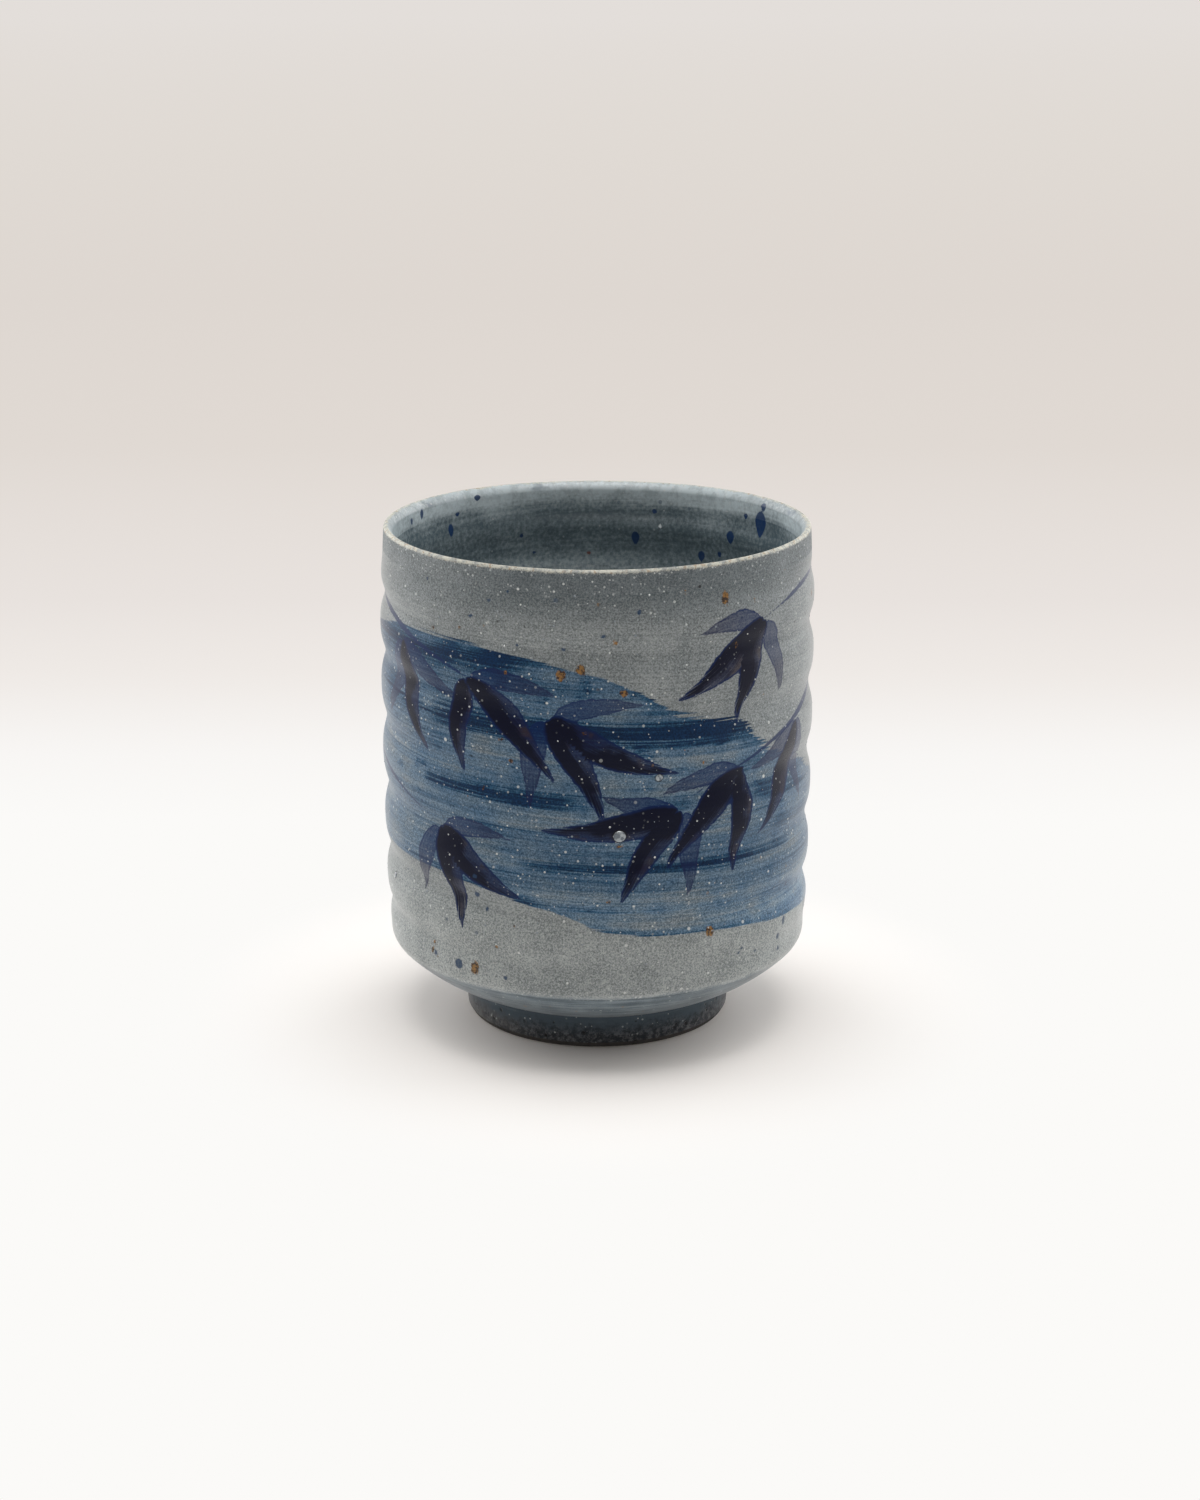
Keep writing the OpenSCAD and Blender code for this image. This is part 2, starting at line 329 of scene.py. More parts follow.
def turned(name, outline, sides):
    """A closed skin turned round the cup's axis from a loop of (radius, height) in mm.
    A point of the loop on the axis becomes a pole."""
    points, rings = [], []
    for r, z in outline:
        if r < 1e-6:
            rings.append([len(points)] * sides)
            points.append((0, 0, z / 1000))
            continue
        rings.append(range(len(points), len(points) + sides))
        points += ring_points(r, z, sides)
    faces = []
    for j, low in enumerate(rings):
        high = rings[(j + 1) % len(rings)]
        for i in range(sides):
            k = (i + 1) % sides
            face = list(dict.fromkeys((low[i], low[k], high[k], high[i])))
            if len(face) > 2:
                faces.append(face)
    piece = mesh_object(name, points, faces)
    shape = bmesh.new()
    shape.from_mesh(piece.data)
    bmesh.ops.recalc_face_normals(shape, faces=shape.faces)
    shape.to_mesh(piece.data)
    shape.free()
    piece.data.polygons.foreach_set("use_smooth", [True] * len(piece.data.polygons))
    piece.data.set_sharp_from_angle(angle=math.radians(SHARP_DEG))
    return piece


def start_tree(name, sizes):
    """A geometry node tree with an input for each named size, and its inputs as terms."""
    tree = bpy.data.node_groups.new(name, "GeometryNodeTree")
    tree.is_modifier = True
    tree.interface.new_socket("Geometry", in_out="INPUT", socket_type="NodeSocketGeometry")
    for size, value in sizes.items():
        kind = "NodeSocketInt" if isinstance(value, int) else "NodeSocketFloat"
        tree.interface.new_socket(size, in_out="INPUT", socket_type=kind).default_value = value
    tree.interface.new_socket("Material", in_out="INPUT", socket_type="NodeSocketMaterial")
    tree.interface.new_socket("Geometry", in_out="OUTPUT", socket_type="NodeSocketGeometry")
    start = tree.nodes.new("NodeGroupInput")
    return tree, {socket.name: Term(tree, socket) for socket in start.outputs if socket.name}


def end_tree(shape, material):
    """Ends a tree: the shape is made real and given its material."""
    real = shape.node("GeometryNodeRealizeInstances", {"Geometry": shape})
    made = shape.node("GeometryNodeSetMaterial", {"Geometry": real, "Material": material})
    end = shape.tree.nodes.new("NodeGroupOutput")
    shape.tree.links.new(made.socket, end.inputs[0])
    return shape.tree


def thrown_tree():
    """Moves the points of a turned skin as a hand-thrown pot has them: out and in along a
    left-handed spiral ridge, a little out of round, and lower in places at the lip."""
    sizes = {
        "Ridge Pitch": RIDGE_PITCH,
        "Crest Height": 0.34,
        "Stray": 1.2,
        "Turn": math.radians(8),
        "Spiral": 1.0,
        "Tilt": 0.0,
        "Flat Crest": 0.2,
        "Low End": WALL_LOW,
        "High End": WALL_HIGH,
        "Fade": 7.0,
        "Out Of Round": 0.06,
        "Lip Dip": 0.3,
    }
    tree, given = start_tree("thrown_by_hand", sizes)
    place = Term(tree, tree.nodes.new("GeometryNodeInputPosition").outputs[0])
    parts = add_node(tree, "ShaderNodeSeparateXYZ", {0: place})
    x, y, z = (Term(tree, out) for out in parts.outputs)
    x, y, z = x * 1000, y * 1000, z * 1000
    turn = y.maths("ARCTAN2", x)
    radius = (x * x + y * y).maths("SQRT")
    low, high = given["Low End"], given["High End"]
    whole_turn = 2 * math.pi
    middle = (low + high) * 0.5
    strayed = z - given["Stray"] * ((z - middle) * whole_turn / (high - low)).maths("SINE")
    level = strayed + given["Tilt"] * turn.maths("COSINE")
    phase = level * whole_turn / given["Ridge Pitch"] + turn * given["Spiral"] + given["Turn"]
    flat = given["Flat Crest"]
    wave = (phase.maths("COSINE") - flat * (phase * 2).maths("COSINE")) / (1 - flat)
    fade = ((z - low) / given["Fade"]).step(0, 1) * ((high - z) / given["Fade"]).step(0, 1)
    # Two slow waves round the cup, as no thrown pot is truly round
    round_wave = (turn * 2 + 0.9).maths("SINE") * 0.6 + (turn * 3 + 2.1).maths("SINE") * 0.4
    upper = z.step(*WAVER_GROWS)
    move_out = given["Crest Height"] * wave * fade
    move_out = move_out + given["Out Of Round"] * (round_wave - 1) * upper
    lip_wave = (turn * 2 - 1.5).maths("SINE") + (turn * 5 + 0.4).maths("SINE") * 0.2
    move_down = given["Lip Dip"] * (lip_wave * 0.4 + 0.5) * z.step(*DIP_GROWS)
    grown = move_out / radius.maths("MAXIMUM", 0.001) + 1
    parts = {0: x * grown / 1000, 1: y * grown / 1000, 2: (z - move_down) / 1000}
    moved = x.node("ShaderNodeCombineXYZ", parts)
    shaped = x.node("GeometryNodeSetPosition", {"Geometry": given["Geometry"], "Position": moved})
    return end_tree(shaped, given["Material"])


def with_nodes(piece, tree, material, **sizes):
    """Runs a node tree over a piece with named sizes, and keeps the result as a plain mesh."""
    modifier = piece.modifiers.new("shape", "NODES")
    modifier.node_group = tree
    for item in tree.interface.items_tree:
        if item.in_out == "INPUT" and item.name in sizes:
            modifier[item.identifier] = sizes[item.name]
        if item.in_out == "INPUT" and item.name == "Material":
            modifier[item.identifier] = material
    evaluated = piece.evaluated_get(bpy.context.evaluated_depsgraph_get())
    mesh = bpy.data.meshes.new_from_object(evaluated)
    piece.modifiers.remove(modifier)
    plain = piece.data
    piece.data = mesh
    mesh.name = piece.name
    bpy.data.meshes.remove(plain)


def wall_rows(low, high, rows):
    heights = np.linspace(low, high, rows + 1)
    return list(zip(wall_r(heights), heights))


thrown = thrown_tree()
outside_glaze, tree, shader = new_material("outside_glaze")
outer_rows = wall_rows(WALL_LOW, WALL_HIGH, WALL_ROWS)
inner_rows = [(r - COAT, z) for r, z in wall_rows(WALL_LOW, WALL_HIGH, BACK_ROWS)]
outside = turned("outside_coat", outer_rows + inner_rows[::-1], WALL_SIDES)
with_nodes(outside, thrown, outside_glaze)

# The painting is laid out on the wall in degrees round from the front, positive to the
# right, and millimetres above the table. Each stroke is kept as a distance into its shape.
WASH_TOP = [
    (-180, 62), (-150, 67), (-120, 72), (-84, 73.6), (-65, 76.2), (-36, 76), (-17, 74.4), (2, 71.8),
    (12, 68.5), (21, 64.6), (39, 61.8), (50, 55.8), (63, 51.8), (84, 45.8), (120, 46), (150, 54),
]
WASH_FOOT = [
    (-180, 31), (-130, 34), (-84, 35), (-46, 34.3), (-26, 32.4), (-11, 29.9), (-2, 27.4), (12, 26),
    (31, 25.4), (55, 23.8), (84, 21.8), (130, 25),
]
# Darker strokes in the wash: from and to in degrees, from and to in mm, half width, depth
WASH_STROKES = [
    (-50, 46, 63.2, 60.6, 3.0, 1.0),
    (-84, 40, 64.6, 59.2, 0.28, 0.8),
    (-70, 44, 63.6, 58.4, 0.22, 0.8),
    (-92, -14, 74.2, 73.0, 2.4, 0.55),
    (-52, -4, 50.6, 49.6, 1.9, 0.75),
    (-22, 66, 38.4, 36.6, 1.4, 0.65),
    (-64, -12, 36.4, 31.6, 1.3, 0.4),
    (-8, 72, 30.6, 28.8, 0.35, 0.55),
    (10, 60, 44.6, 42.8, 0.3, 0.35),
    (44, 96, 49.5, 42.0, 2.4, 0.4),
    (100, 190, 44.0, 56.0, 2.6, 0.5),
    (130, 250, 34.0, 42.0, 2.0, 0.5),
    (150, 262, 58.0, 66.0, 1.2, 0.5),
]
# How sharply a stroke begins, ends and stops at its sides
STROKE_SETS_DOWN, STROKE_LIFTS, STROKE_FIRM = 12, 9, 1.25
# The brush ran dry where the wash climbs to its end on the right: degrees and a depth in mm
DRY_FROM, DRY_FADES_IN, DRY_TO, DRY_FADES_OUT, DRY_DEPTH = 8, 25, 88, 20, 5
# Bamboo sprays: root in degrees and mm, direction in degrees from the right, length, half
# width and bend in mm. Leaves are laid on in full ink and in watered ink.
INKED_LEAVES = [
    (-60, 73.6, -70, 20.5, 2.9, -1.2), (-35, 70.2, -47, 23.8, 3.1, 1.3),
    (-36, 69.8, -92, 17.3, 2.7, -0.9),
    (-12, 64.4, -24, 24.8, 3.0, -1.5), (-13, 64.0, -61, 20.5, 3.0, 1.1),
    (64, 58.6, -122, 21.6, 3.0, 1.0), (41, 53.6, -133, 22.7, 3.1, -1.2),
    (40, 53.2, -96, 18.4, 2.9, 0.9),
    (21, 48.2, -172, 23.8, 3.0, 1.3), (22, 47.8, -124, 19.4, 2.9, -1.0),
    (47, 79.0, -146, 21.6, 3.0, 1.2), (48, 78.6, -110, 18.4, 2.9, -0.9),
    (-45, 42.6, -32, 20.5, 3.0, -1.2), (-46, 42.2, -72, 18.4, 2.9, 0.9),
    (-118, 69.0, -36, 23.8, 3.1, 1.3), (-119, 68.6, -78, 19.4, 2.9, -0.9),
    (-146, 74.0, -64, 21.6, 3.0, 1.0),
    (150, 64.0, -30, 23.8, 3.1, -1.4), (149, 63.6, -70, 20.5, 3.0, 1.0),
    (124, 70.0, -84, 19.4, 2.9, 0.9),
    (-170, 44.0, -150, 22.7, 3.0, 1.2), (-169, 43.6, -112, 19.4, 2.9, -1.0),
    (-142, 50.0, -128, 20.5, 3.0, 1.0),
    (108, 46.0, -140, 19.4, 2.9, 1.0),
]
WATERED_LEAVES = [
    (-61, 73.4, -112, 15.4, 2.6, 0.8), (-34, 70.4, -8, 16.5, 2.2, 0.9),
    (-59, 73.8, -30, 16.5, 2.4, -0.9),
    (-11, 64.6, 8, 15.4, 2.2, 0.9), (-14, 64.0, -98, 15.4, 2.6, -0.8),
    (65, 58.8, -84, 15.4, 2.5, -0.8), (39, 53.8, -168, 15.4, 2.2, -0.8),
    (63, 58.4, -156, 14.3, 2.2, 0.8),
    (20, 48.4, 168, 13.2, 2.1, 0.7), (23, 47.6, -88, 15.4, 2.6, 0.8),
    (46, 79.2, -174, 13.2, 2.1, -0.7), (49, 78.4, -74, 14.3, 2.4, 0.8),
    (-44, 42.8, -2, 14.3, 2.1, 0.8), (-47, 42.0, -108, 13.2, 2.5, -0.8),
    (-117, 69.2, -2, 15.4, 2.2, 0.8), (-147, 73.8, -104, 15.4, 2.6, 0.8),
    (-145, 74.2, -24, 15.4, 2.2, -0.8),
    (151, 64.2, 6, 15.4, 2.2, 0.8), (148, 63.4, -106, 15.4, 2.6, -0.8),
    (125, 70.2, -40, 15.4, 2.4, 0.8),
    (-171, 44.2, 174, 14.3, 2.2, 0.8), (-168, 43.4, -78, 14.3, 2.5, 0.8),
    (-141, 50.2, -92, 14.3, 2.5, -0.8),
    (109, 45.8, -100, 14.3, 2.5, 0.8), (107, 46.2, -172, 13.2, 2.1, -0.7),
]
# Where a leaf is widest, how blunt its ends are and how much it narrows towards its tip
LEAF_BELLY, LEAF_BLUNT, LEAF_TAPER = 0.72, 0.8, 0.35
TWIGS = [
    (-100, 80.0, -15.5, 62, 0.56, 2.6), (100, 64.0, -163.5, 56, 0.56, -2.4),
    (84, 83.0, -170, 26, 0.5, -1.0), (-92, 51.0, -16, 33, 0.52, 1.4),
    (-178, 80.0, -14, 42, 0.56, 1.8), (90, 77.0, -18.5, 42, 0.56, 1.8),
    (-104, 58.0, -161.5, 46, 0.56, -1.8), (140, 52.0, -163, 22, 0.5, -1.0),
]
# Iron spots: degrees, mm, half width and half height in mm
IRON_SPOTS = [
    (-29.7, 87.4, 0.35, 0.4), (23, 86.9, 0.55, 1.5), (34.5, 83.6, 0.7, 1.2), (44.4, 82.3, 0.3, 0.4),
    (4.6, 77.6, 0.45, 0.5), (-9, 72, 0.85, 0.95), (-4, 73, 0.75, 0.9), (-23.3, 71.8, 0.3, 0.4),
    (38.6, 75.1, 0.3, 0.4), (-34.3, 17.9, 0.8, 1.3), (30.7, 25.2, 0.85, 0.9),
    (-22.2, 56.6, 0.4, 0.4),
    (-3, 62.1, 0.35, 0.3), (5.7, 42.2, 0.5, 0.3), (-50, 18.6, 0.4, 0.6), (2.9, 32.3, 0.35, 0.35),
    (48, 36, 0.3, 0.4), (6.6, 69, 0.7, 0.6), (77, 79.2, 0.5, 0.6), (28, 55.8, 0.3, 0.3),
    (100, 70, 0.6, 0.9), (128, 34, 0.5, 0.6), (160, 78, 0.7, 1.1), (-100, 24, 0.6, 0.7),
    (-140, 80, 0.5, 1.0), (-165, 22, 0.7, 0.8), (-112, 52, 0.4, 0.4), (175, 50, 0.4, 0.5),
    (-47.8, 77.1, 0.35, 0.4), (-37.4, 78.3, 0.3, 0.35), (-24.7, 60.2, 0.5, 0.4),
    (-30.1, 51.1, 0.35, 0.4),
    (-49.5, 20.1, 0.4, 0.55),
]
# Spattered cobalt: degrees, mm, half width and half height in mm
BLUE_SPOTS = [
    (10.6, 82.7, 0.4, 0.45), (30.4, 86.2, 0.3, 0.35), (-39.8, 17.9, 0.9, 0.9),
    (-24.8, 17.2, 0.45, 0.4),
    (59.8, 22.4, 0.5, 1.0), (57.6, 19.8, 0.5, 0.8), (58.4, 17.4, 0.4, 0.5), (77.5, 21.9, 0.5, 0.9),
    (72.6, 27.2, 0.4, 0.6), (41.8, 20.5, 0.3, 0.3), (47.3, 19.0, 0.3, 0.3), (-49.2, 85.4, 0.3, 0.3),
    (-28.3, 83.8, 0.35, 0.35), (-33.5, 80.8, 0.5, 0.35), (-23.1, 85.6, 0.3, 0.3),
    (1.6, 78.8, 0.5, 0.3),
    (-8.5, 76.3, 0.45, 0.35), (-128, 28, 0.5, 0.7), (-133, 25, 0.4, 0.5), (170, 82, 0.4, 0.6),
    (110, 80, 0.5, 0.8), (-90, 83, 0.35, 0.5), (140, 24, 0.5, 0.6), (146, 20, 0.35, 0.4),
    (-33.2, 35, 0.45, 0.45), (-33.2, 31.5, 0.5, 0.6), (-30.2, 29.2, 0.35, 0.45),
    (-33.1, 24.7, 0.4, 0.45),
    (-48.7, 18.4, 0.45, 0.6), (62.5, 28.7, 0.45, 0.55), (40.7, 19.7, 0.35, 0.35),
]
# Glass beads that boiled out through the coat: degrees from the front, height, radius in mm
BEADS = [
    (5.7, 44.1, 1.05), (16.0, 53.9, 0.62), (-71, 28.5, 0.5), (118, 60.0, 0.8), (-150, 33.0, 0.7),
]
TURN_MM = 38.1 * math.pi / 180


def points_mm(mesh):
    """The mesh's points in mm, as one array for each axis."""
    flat = np.empty(len(mesh.vertices) * 3)
    mesh.vertices.foreach_get("co", flat)
    return flat.reshape(-1, 3).T * 1000


def unrolled(mesh):
    """Each point's turn from the front in degrees and its height in mm, as arrays."""
    x, y, z = points_mm(mesh)
    return np.degrees(np.arctan2(x, -y)), z


def round_the_cup(points, turn):
    """Height of a brushed edge at each turn, through points that close round the cup."""
    degrees, heights = zip(*points)
    return np.interp(turn, degrees, heights, period=360)


def soft(x):
    """0 up to 0 and 1 from 1, with a soft change between."""
    x = np.clip(x, 0, 1)
    return x * x * (3 - 2 * x)


def degrees_from(turn, middle):
    """How far each turn is from a middle one, the short way round."""
    return (turn - middle + 180) % 360 - 180


def in_strokes(turn, z, strokes):
    """For each point, how far it lies inside the nearest leaf-shaped stroke in mm, the share of
    the stroke's length it lies at, and how far it is to the left of the stroke's spine in mm."""
    best = [np.full(len(z), -50.0), np.zeros(len(z)), np.zeros(len(z))]
    for root, root_z, way, length, half, bend in strokes:
        across = degrees_from(turn, root) * TURN_MM
        up = z - root_z
        c, s = math.cos(math.radians(way)), math.sin(math.radians(way))
        along = (across * c + up * s) / length
        held = np.clip(along, 0, 1)
        off_spine = up * c - across * s - bend * 4 * held * (1 - held)
        width = half * np.sin(np.pi * held**LEAF_BELLY) ** LEAF_BLUNT * (1 - LEAF_TAPER * held)
        depth = width - np.abs(off_spine) - np.abs(along - held) * length
        nearer = depth > best[0]
        for kept, new in zip(best, (depth, along, off_spine)):
            kept[nearer] = new[nearer]
    return best


def keep(mesh, name, values):
    attribute = mesh.attributes.new(name, "FLOAT", "POINT")
    attribute.data.foreach_set("value", np.asarray(values, np.float32))


turn, height = unrolled(outside.data)
top_edge = round_the_cup(WASH_TOP, turn) - height
wash = np.minimum(top_edge, height - round_the_cup(WASH_FOOT, turn))
dry = soft((turn - DRY_FROM) / DRY_FADES_IN) * soft((DRY_TO - turn) / DRY_FADES_OUT)
dry = dry * soft(1 - np.abs(top_edge) / DRY_DEPTH)
pooled = np.zeros(len(height))
for start, stop, low, high, half, depth in WASH_STROKES:
    share = ((turn - start) % 360) / (stop - start)
    middle = low + (high - low) * share
    ends = soft(share * STROKE_SETS_DOWN) * soft((1 - share) * STROKE_LIFTS) * (share <= 1)
    across = soft(STROKE_FIRM * (1 - np.abs(height - middle) / half))
    pooled = np.maximum(pooled, depth * ends * across)


def in_spots(turn, z, spots):
    """For each point, how far it lies inside the nearest oval spot, in mm."""
    best = np.full(len(z), -20.0)
    for spot_turn, spot_z, half_w, half_h in spots:
        across = degrees_from(turn, spot_turn) * TURN_MM / half_w
        best = np.maximum(best, (1 - np.hypot(across, (z - spot_z) / half_h)) * min(half_w, half_h))
    return best


for name, values in (("wash", wash), ("pooled", pooled), ("dry", dry)):
    keep(outside.data, name, values)
bead_spots = [(*bead, bead[2]) for bead in BEADS]
for name, spots in (("iron", IRON_SPOTS), ("blue_spots", BLUE_SPOTS), ("bead_edge", bead_spots)):
    keep(outside.data, name, in_spots(turn, height, spots))
keep(outside.data, "twig", in_strokes(turn, height, TWIGS)[0])
for name, strokes in (("inked", INKED_LEAVES), ("watered", WATERED_LEAVES)):
    for part, values in zip(("", "_along", "_side"), in_strokes(turn, height, strokes)):
        keep(outside.data, name + part, values)

GREY_DARK = srgb(112, 120, 122)
GREY_LIGHT = srgb(184, 190, 190)
MIDDLE_TINT = (0.71, 0.725, 0.745, 1)
RIM_TINT = (0.5, 0.54, 0.57, 1)
# What the wash lets through of the glaze under it, from thin to thick
WASH_TINTS = [
    (0.0, (0.84, 0.9, 0.97, 1)), (0.3, (0.5, 0.7, 0.93, 1)), (0.5, (0.3, 0.5, 0.77, 1)),
    (0.72, (0.07, 0.25, 0.48, 1)), (1.0, (0.01, 0.08, 0.24, 1)),
]
FELDSPAR = srgb(208, 213, 213)
IRON_DARK = srgb(52, 32, 16)
IRON_OCHRE = srgb(146, 106, 50)
COBALT_DOT = srgb(34, 60, 92)
BLACK_DOT = srgb(34, 34, 36)
INK_BLACK = srgb(0, 3, 30)
INK_PURPLE = srgb(24, 30, 70)
INK_BROWN = srgb(48, 36, 42)
INK_BLUE = srgb(6, 34, 82)
# Heights in mm at which the grey changes: where the wheel's lines begin and end, where the
# middle turns deeper and the low front darkens as painted shade, and where the dark band under
# the lip begins, is full and lets go at the lip. That band is partly the glaze's own darker
# colour and partly painted shade, deepest in front and lifted towards the sides. The ends at
# the sides are in metres.
LINES_BEGIN, LINES_END = (24, 30), (86, 82)
MIDDLE_BEGINS, LOW_FRONT_SHADE = (22, 36), (30, 20)
LOW_FRONT_SHADE_SIDES = (-0.024, -0.008), (0.026, 0.01)
RIM_BEGINS, RIM_FULL, RIM_ENDS = (79.5, 85.5), (83, 88), (88.5, 89.4)
RIM_SHADE_SIDES = (-0.012, -0.03), (0.016, 0.034)
CRUMBS_BEGIN = (83, 88.5)
# Specks: cell in mm, share of the cells, radius as a share of a cell and the pattern's shift,
# then how far the specks' strength spreads and its least
FINE_WHITE = (0.85, 0.36, 0.27, 0.3, 0.45, 0.12)
MIDDLING_WHITE = (1.6, 0.5, 0.18, 0.7, 0.7, 0.3)
LARGE_WHITE = (4.6, 0.5, 0.1, 1.9, 0.3, 0.65)
LIP_CRUMBS = (0.75, 0.5, 0.32, 17.9, 0.6, 0.2)
DUSKY_DOTS = (0.8, 0.3, 0.3, 12.7, 0.35, 0.12)
BLACK_DOTS = (2.4, 0.16, 0.13, 5.1, 0.5, 0.45)
COBALT_DOTS = (6.0, 0.34, 0.1, 8.3, 0.5, 0.4)
RUST_DOTS = (4.6, 0.34, 0.09, 15.3, 0.5, 0.3)
# How softly a spot or a drop ends, in mm in from its edge
SPOT_EDGE = (-0.1, 0.12)
# How far a brushed line falls to the right in mm, across half the cup's width in metres
BRUSH_FALL, HALF_CUP = 1.8, 0.0377


def attribute(tree, name):
    return Term(tree, add_node(tree, "ShaderNodeAttribute", {}, attribute_name=name).outputs["Fac"])


def brushed(x, y, z, run_mm, width_mm, shift, fall=BRUSH_FALL):
    """Noise drawn out along the brush: long round the cup and fine up it."""
    around = 1000 / run_mm
    level = (z * 1000 + x * (fall / HALF_CUP)) / width_mm
    place = x.node("ShaderNodeCombineXYZ", {0: x * around, 1: y * around + shift, 2: level})
    return noise(place, 1.0, 3.0, 0.6)


def specks(place, cell_mm, share, size, shift, spread=0.0, least=1.0):
    """How strongly round specks cover a place, with one speck in a share of the cells."""
    shifted = place.node("ShaderNodeVectorMath", {0: place, 1: (shift, 0.0, 0.0)}, operation="ADD")
    tree, inputs = place.tree, {"Vector": shifted, "Scale": 1000 / cell_mm}
    cells = add_node(tree, "ShaderNodeTexVoronoi", inputs)
    distance, numbers = (Term(tree, cells.outputs[name]) for name in ("Distance", "Color"))
    numbers = add_node(tree, "ShaderNodeSeparateColor", {0: numbers})
    chance, growth, strength = (Term(tree, out) for out in numbers.outputs)
    inside = (distance / ((growth * 0.6 + 0.4) * size)).step(1.0, 0.7)
    return inside * chance.maths("LESS_THAN", share) * (strength * spread + least)


def laid_over(colour, *layers):
    """A colour with others laid over it in turn, each by its share."""
    for share, above in layers:
        colour = mix_colours(share, colour, above)
    return colour


def grey_glaze(tree):
    """The bare grey glaze: fine salt-and-pepper grain, cloudy patches, the lines of the wheel,
    and dots of feldspar, cobalt and iron. Its low front is darkened as painted shade, and the
    dark band under the lip is partly its own colour and partly painted shade. Every coat that
    uses it meets the next one unseen."""
    place, x, y, z = object_place(tree)
    z_mm = z * 1000
    grain = noise(place, 3300, 3.0, 0.8)
    clouds = noise(place, 160, 3.0)
    lines = brushed(x, y, z, 50, 0.3, 3.0)
    lined = z_mm.step(*LINES_END) * z_mm.step(*LINES_BEGIN) * 0.3 + 0.1
    tone = grain.swing(1.7) + clouds.swing(0.35) + (lines - 0.5) * lined + 0.5
    colour = mix_colours(tone.step(0.2, 0.8), GREY_DARK, GREY_LIGHT)
    middle = (z_mm + clouds.swing(6)).step(*MIDDLE_BEGINS)
    # Painted shade: the low front of the wall darker, fading out towards either side
    low_front_shade = z_mm.step(*LOW_FRONT_SHADE) * 0.45
    for side in LOW_FRONT_SHADE_SIDES:
        low_front_shade = low_front_shade * x.step(*side)
    # Painted shade: the band under the lip is deepest in front and lifts towards the left and right
    # sides
    left, right = (x.step(*side) for side in RIM_SHADE_SIDES)
    rim = (z_mm + clouds.swing(7) + lines.swing(2)).step(*RIM_BEGINS) * 0.75
    rim = (rim + z_mm.step(*RIM_FULL) * 0.25) * (1.0 - z_mm.step(*RIM_ENDS) * 0.3)
    rim = rim * (1.0 - left * 0.62 - right * 0.36)
    for share, tint in ((middle, MIDDLE_TINT), (low_front_shade, MIDDLE_TINT), (rim, RIM_TINT)):
        colour = mix_colours(share, colour, tint, "MULTIPLY")
    white = specks(place, *LIP_CRUMBS) * (z_mm + clouds.swing(4)).step(*CRUMBS_BEGIN)
    for sort in (FINE_WHITE, MIDDLING_WHITE, LARGE_WHITE):
        white = white.maths("MAXIMUM", specks(place, *sort))
    dots = ((DUSKY_DOTS, BLACK_DOT), (BLACK_DOTS, BLACK_DOT), (COBALT_DOTS, COBALT_DOT))
    colour = laid_over(colour, *((specks(place, *sort), paint) for sort, paint in dots))
    relief = grain * 0.35 + white * 0.5 + lines * 0.2 + clouds * 0.6
    return {"colour": colour, "grain": grain, "clouds": clouds, "white": white, "relief": relief}


place, x, y, z = object_place(tree)
z_mm = z * 1000

# The painting over the grey glaze
grey = grey_glaze(tree)
ground, grain, clouds = grey["colour"], grey["grain"], grey["clouds"]

# The cobalt wash: ragged along its edges, streaked by the bristles and dark where it pooled,
# with firm dabs where the brush was set down. It is thickest high up on the left.
# Each pair runs from where a mark begins to where it is full: in mm for edges and heights, in
# metres for a side, and as a share of the noise for streaks and dabs.
WASH_EDGE, WASH_RIM = (-0.08, 0.2), ((-0.1, 0.3), (1.1, 0.4))
HAIRLINES, POOL_STREAKS, DABS = (0.57, 0.7), (0.38, 0.56), (0.66, 0.685)
FEW_DABS, HIGH, HIGH_LEFT = (48, 40), (55, 75), ((62, 74), (0.0, -0.02))
EVEN_THICKNESS, LEAST_THICKNESS = 0.39, 0.04
streaks = brushed(x, y, z, 34, 0.4, 11.0)
wide_streaks = brushed(x, y, z, 60, 2.4, 23.0)
hairlines = brushed(x, y, z, 90, 0.34, 37.0).step(*HAIRLINES)
dry = attribute(tree, "dry")
edge = attribute(tree, "wash") + (wide_streaks - 0.5) * (dry * 5 + 1.8)
edge = edge + (streaks - 0.5) * (dry * 6 + 1.2)
pools = attribute(tree, "pooled") * (streaks.step(*POOL_STREAKS) * 0.6 + 0.4)
dabs = brushed(x, y, z, 5, 1.6, 53.0, 0.5) + streaks.swing(0.12) + clouds.swing(0.2)
dabs = dabs.step(*DABS) * (1 - z_mm.step(*FEW_DABS) * 0.7)
wash_rim = edge.step(*WASH_RIM[0]) * edge.step(*WASH_RIM[1])
high = z_mm.step(*HIGH) + z_mm.step(*HIGH_LEFT[0]) * x.step(*HIGH_LEFT[1])
pigment = (
    wide_streaks.swing(1.15) + streaks.swing(0.7) + clouds.swing(1.0) - grain.swing(0.5)
    + hairlines * 0.25 + pools * 0.85 + dabs * 0.22 + wash_rim * 0.12 + high * 0.12 + EVEN_THICKNESS
)
wash_tint = ramp(pigment.maths("MAXIMUM", LEAST_THICKNESS), WASH_TINTS)
washed = mix_colours(edge.step(*WASH_EDGE), ground, wash_tint, "MULTIPLY")


def leaf_layer(name, wobble):
    """A layer of painted leaves: how much of it covers, its edge in mm, the share of the leaf's
    length, and the streaks that the bristles leave along it."""
    along = attribute(tree, name + "_along")
    bristle_place = {0: along * 2.4, 1: attribute(tree, name + "_side") / 0.3, 2: 4.0}
    bristles = noise(along.node("ShaderNodeCombineXYZ", bristle_place), 1.0, 2.0)
    edge = attribute(tree, name) + wobble
    dry = bristles.step(0.54, 0.66) * along.step(0.5, 0.95)
    return edge.step(-0.05, 0.16) * (1 - dry * 0.7), edge, along, bristles


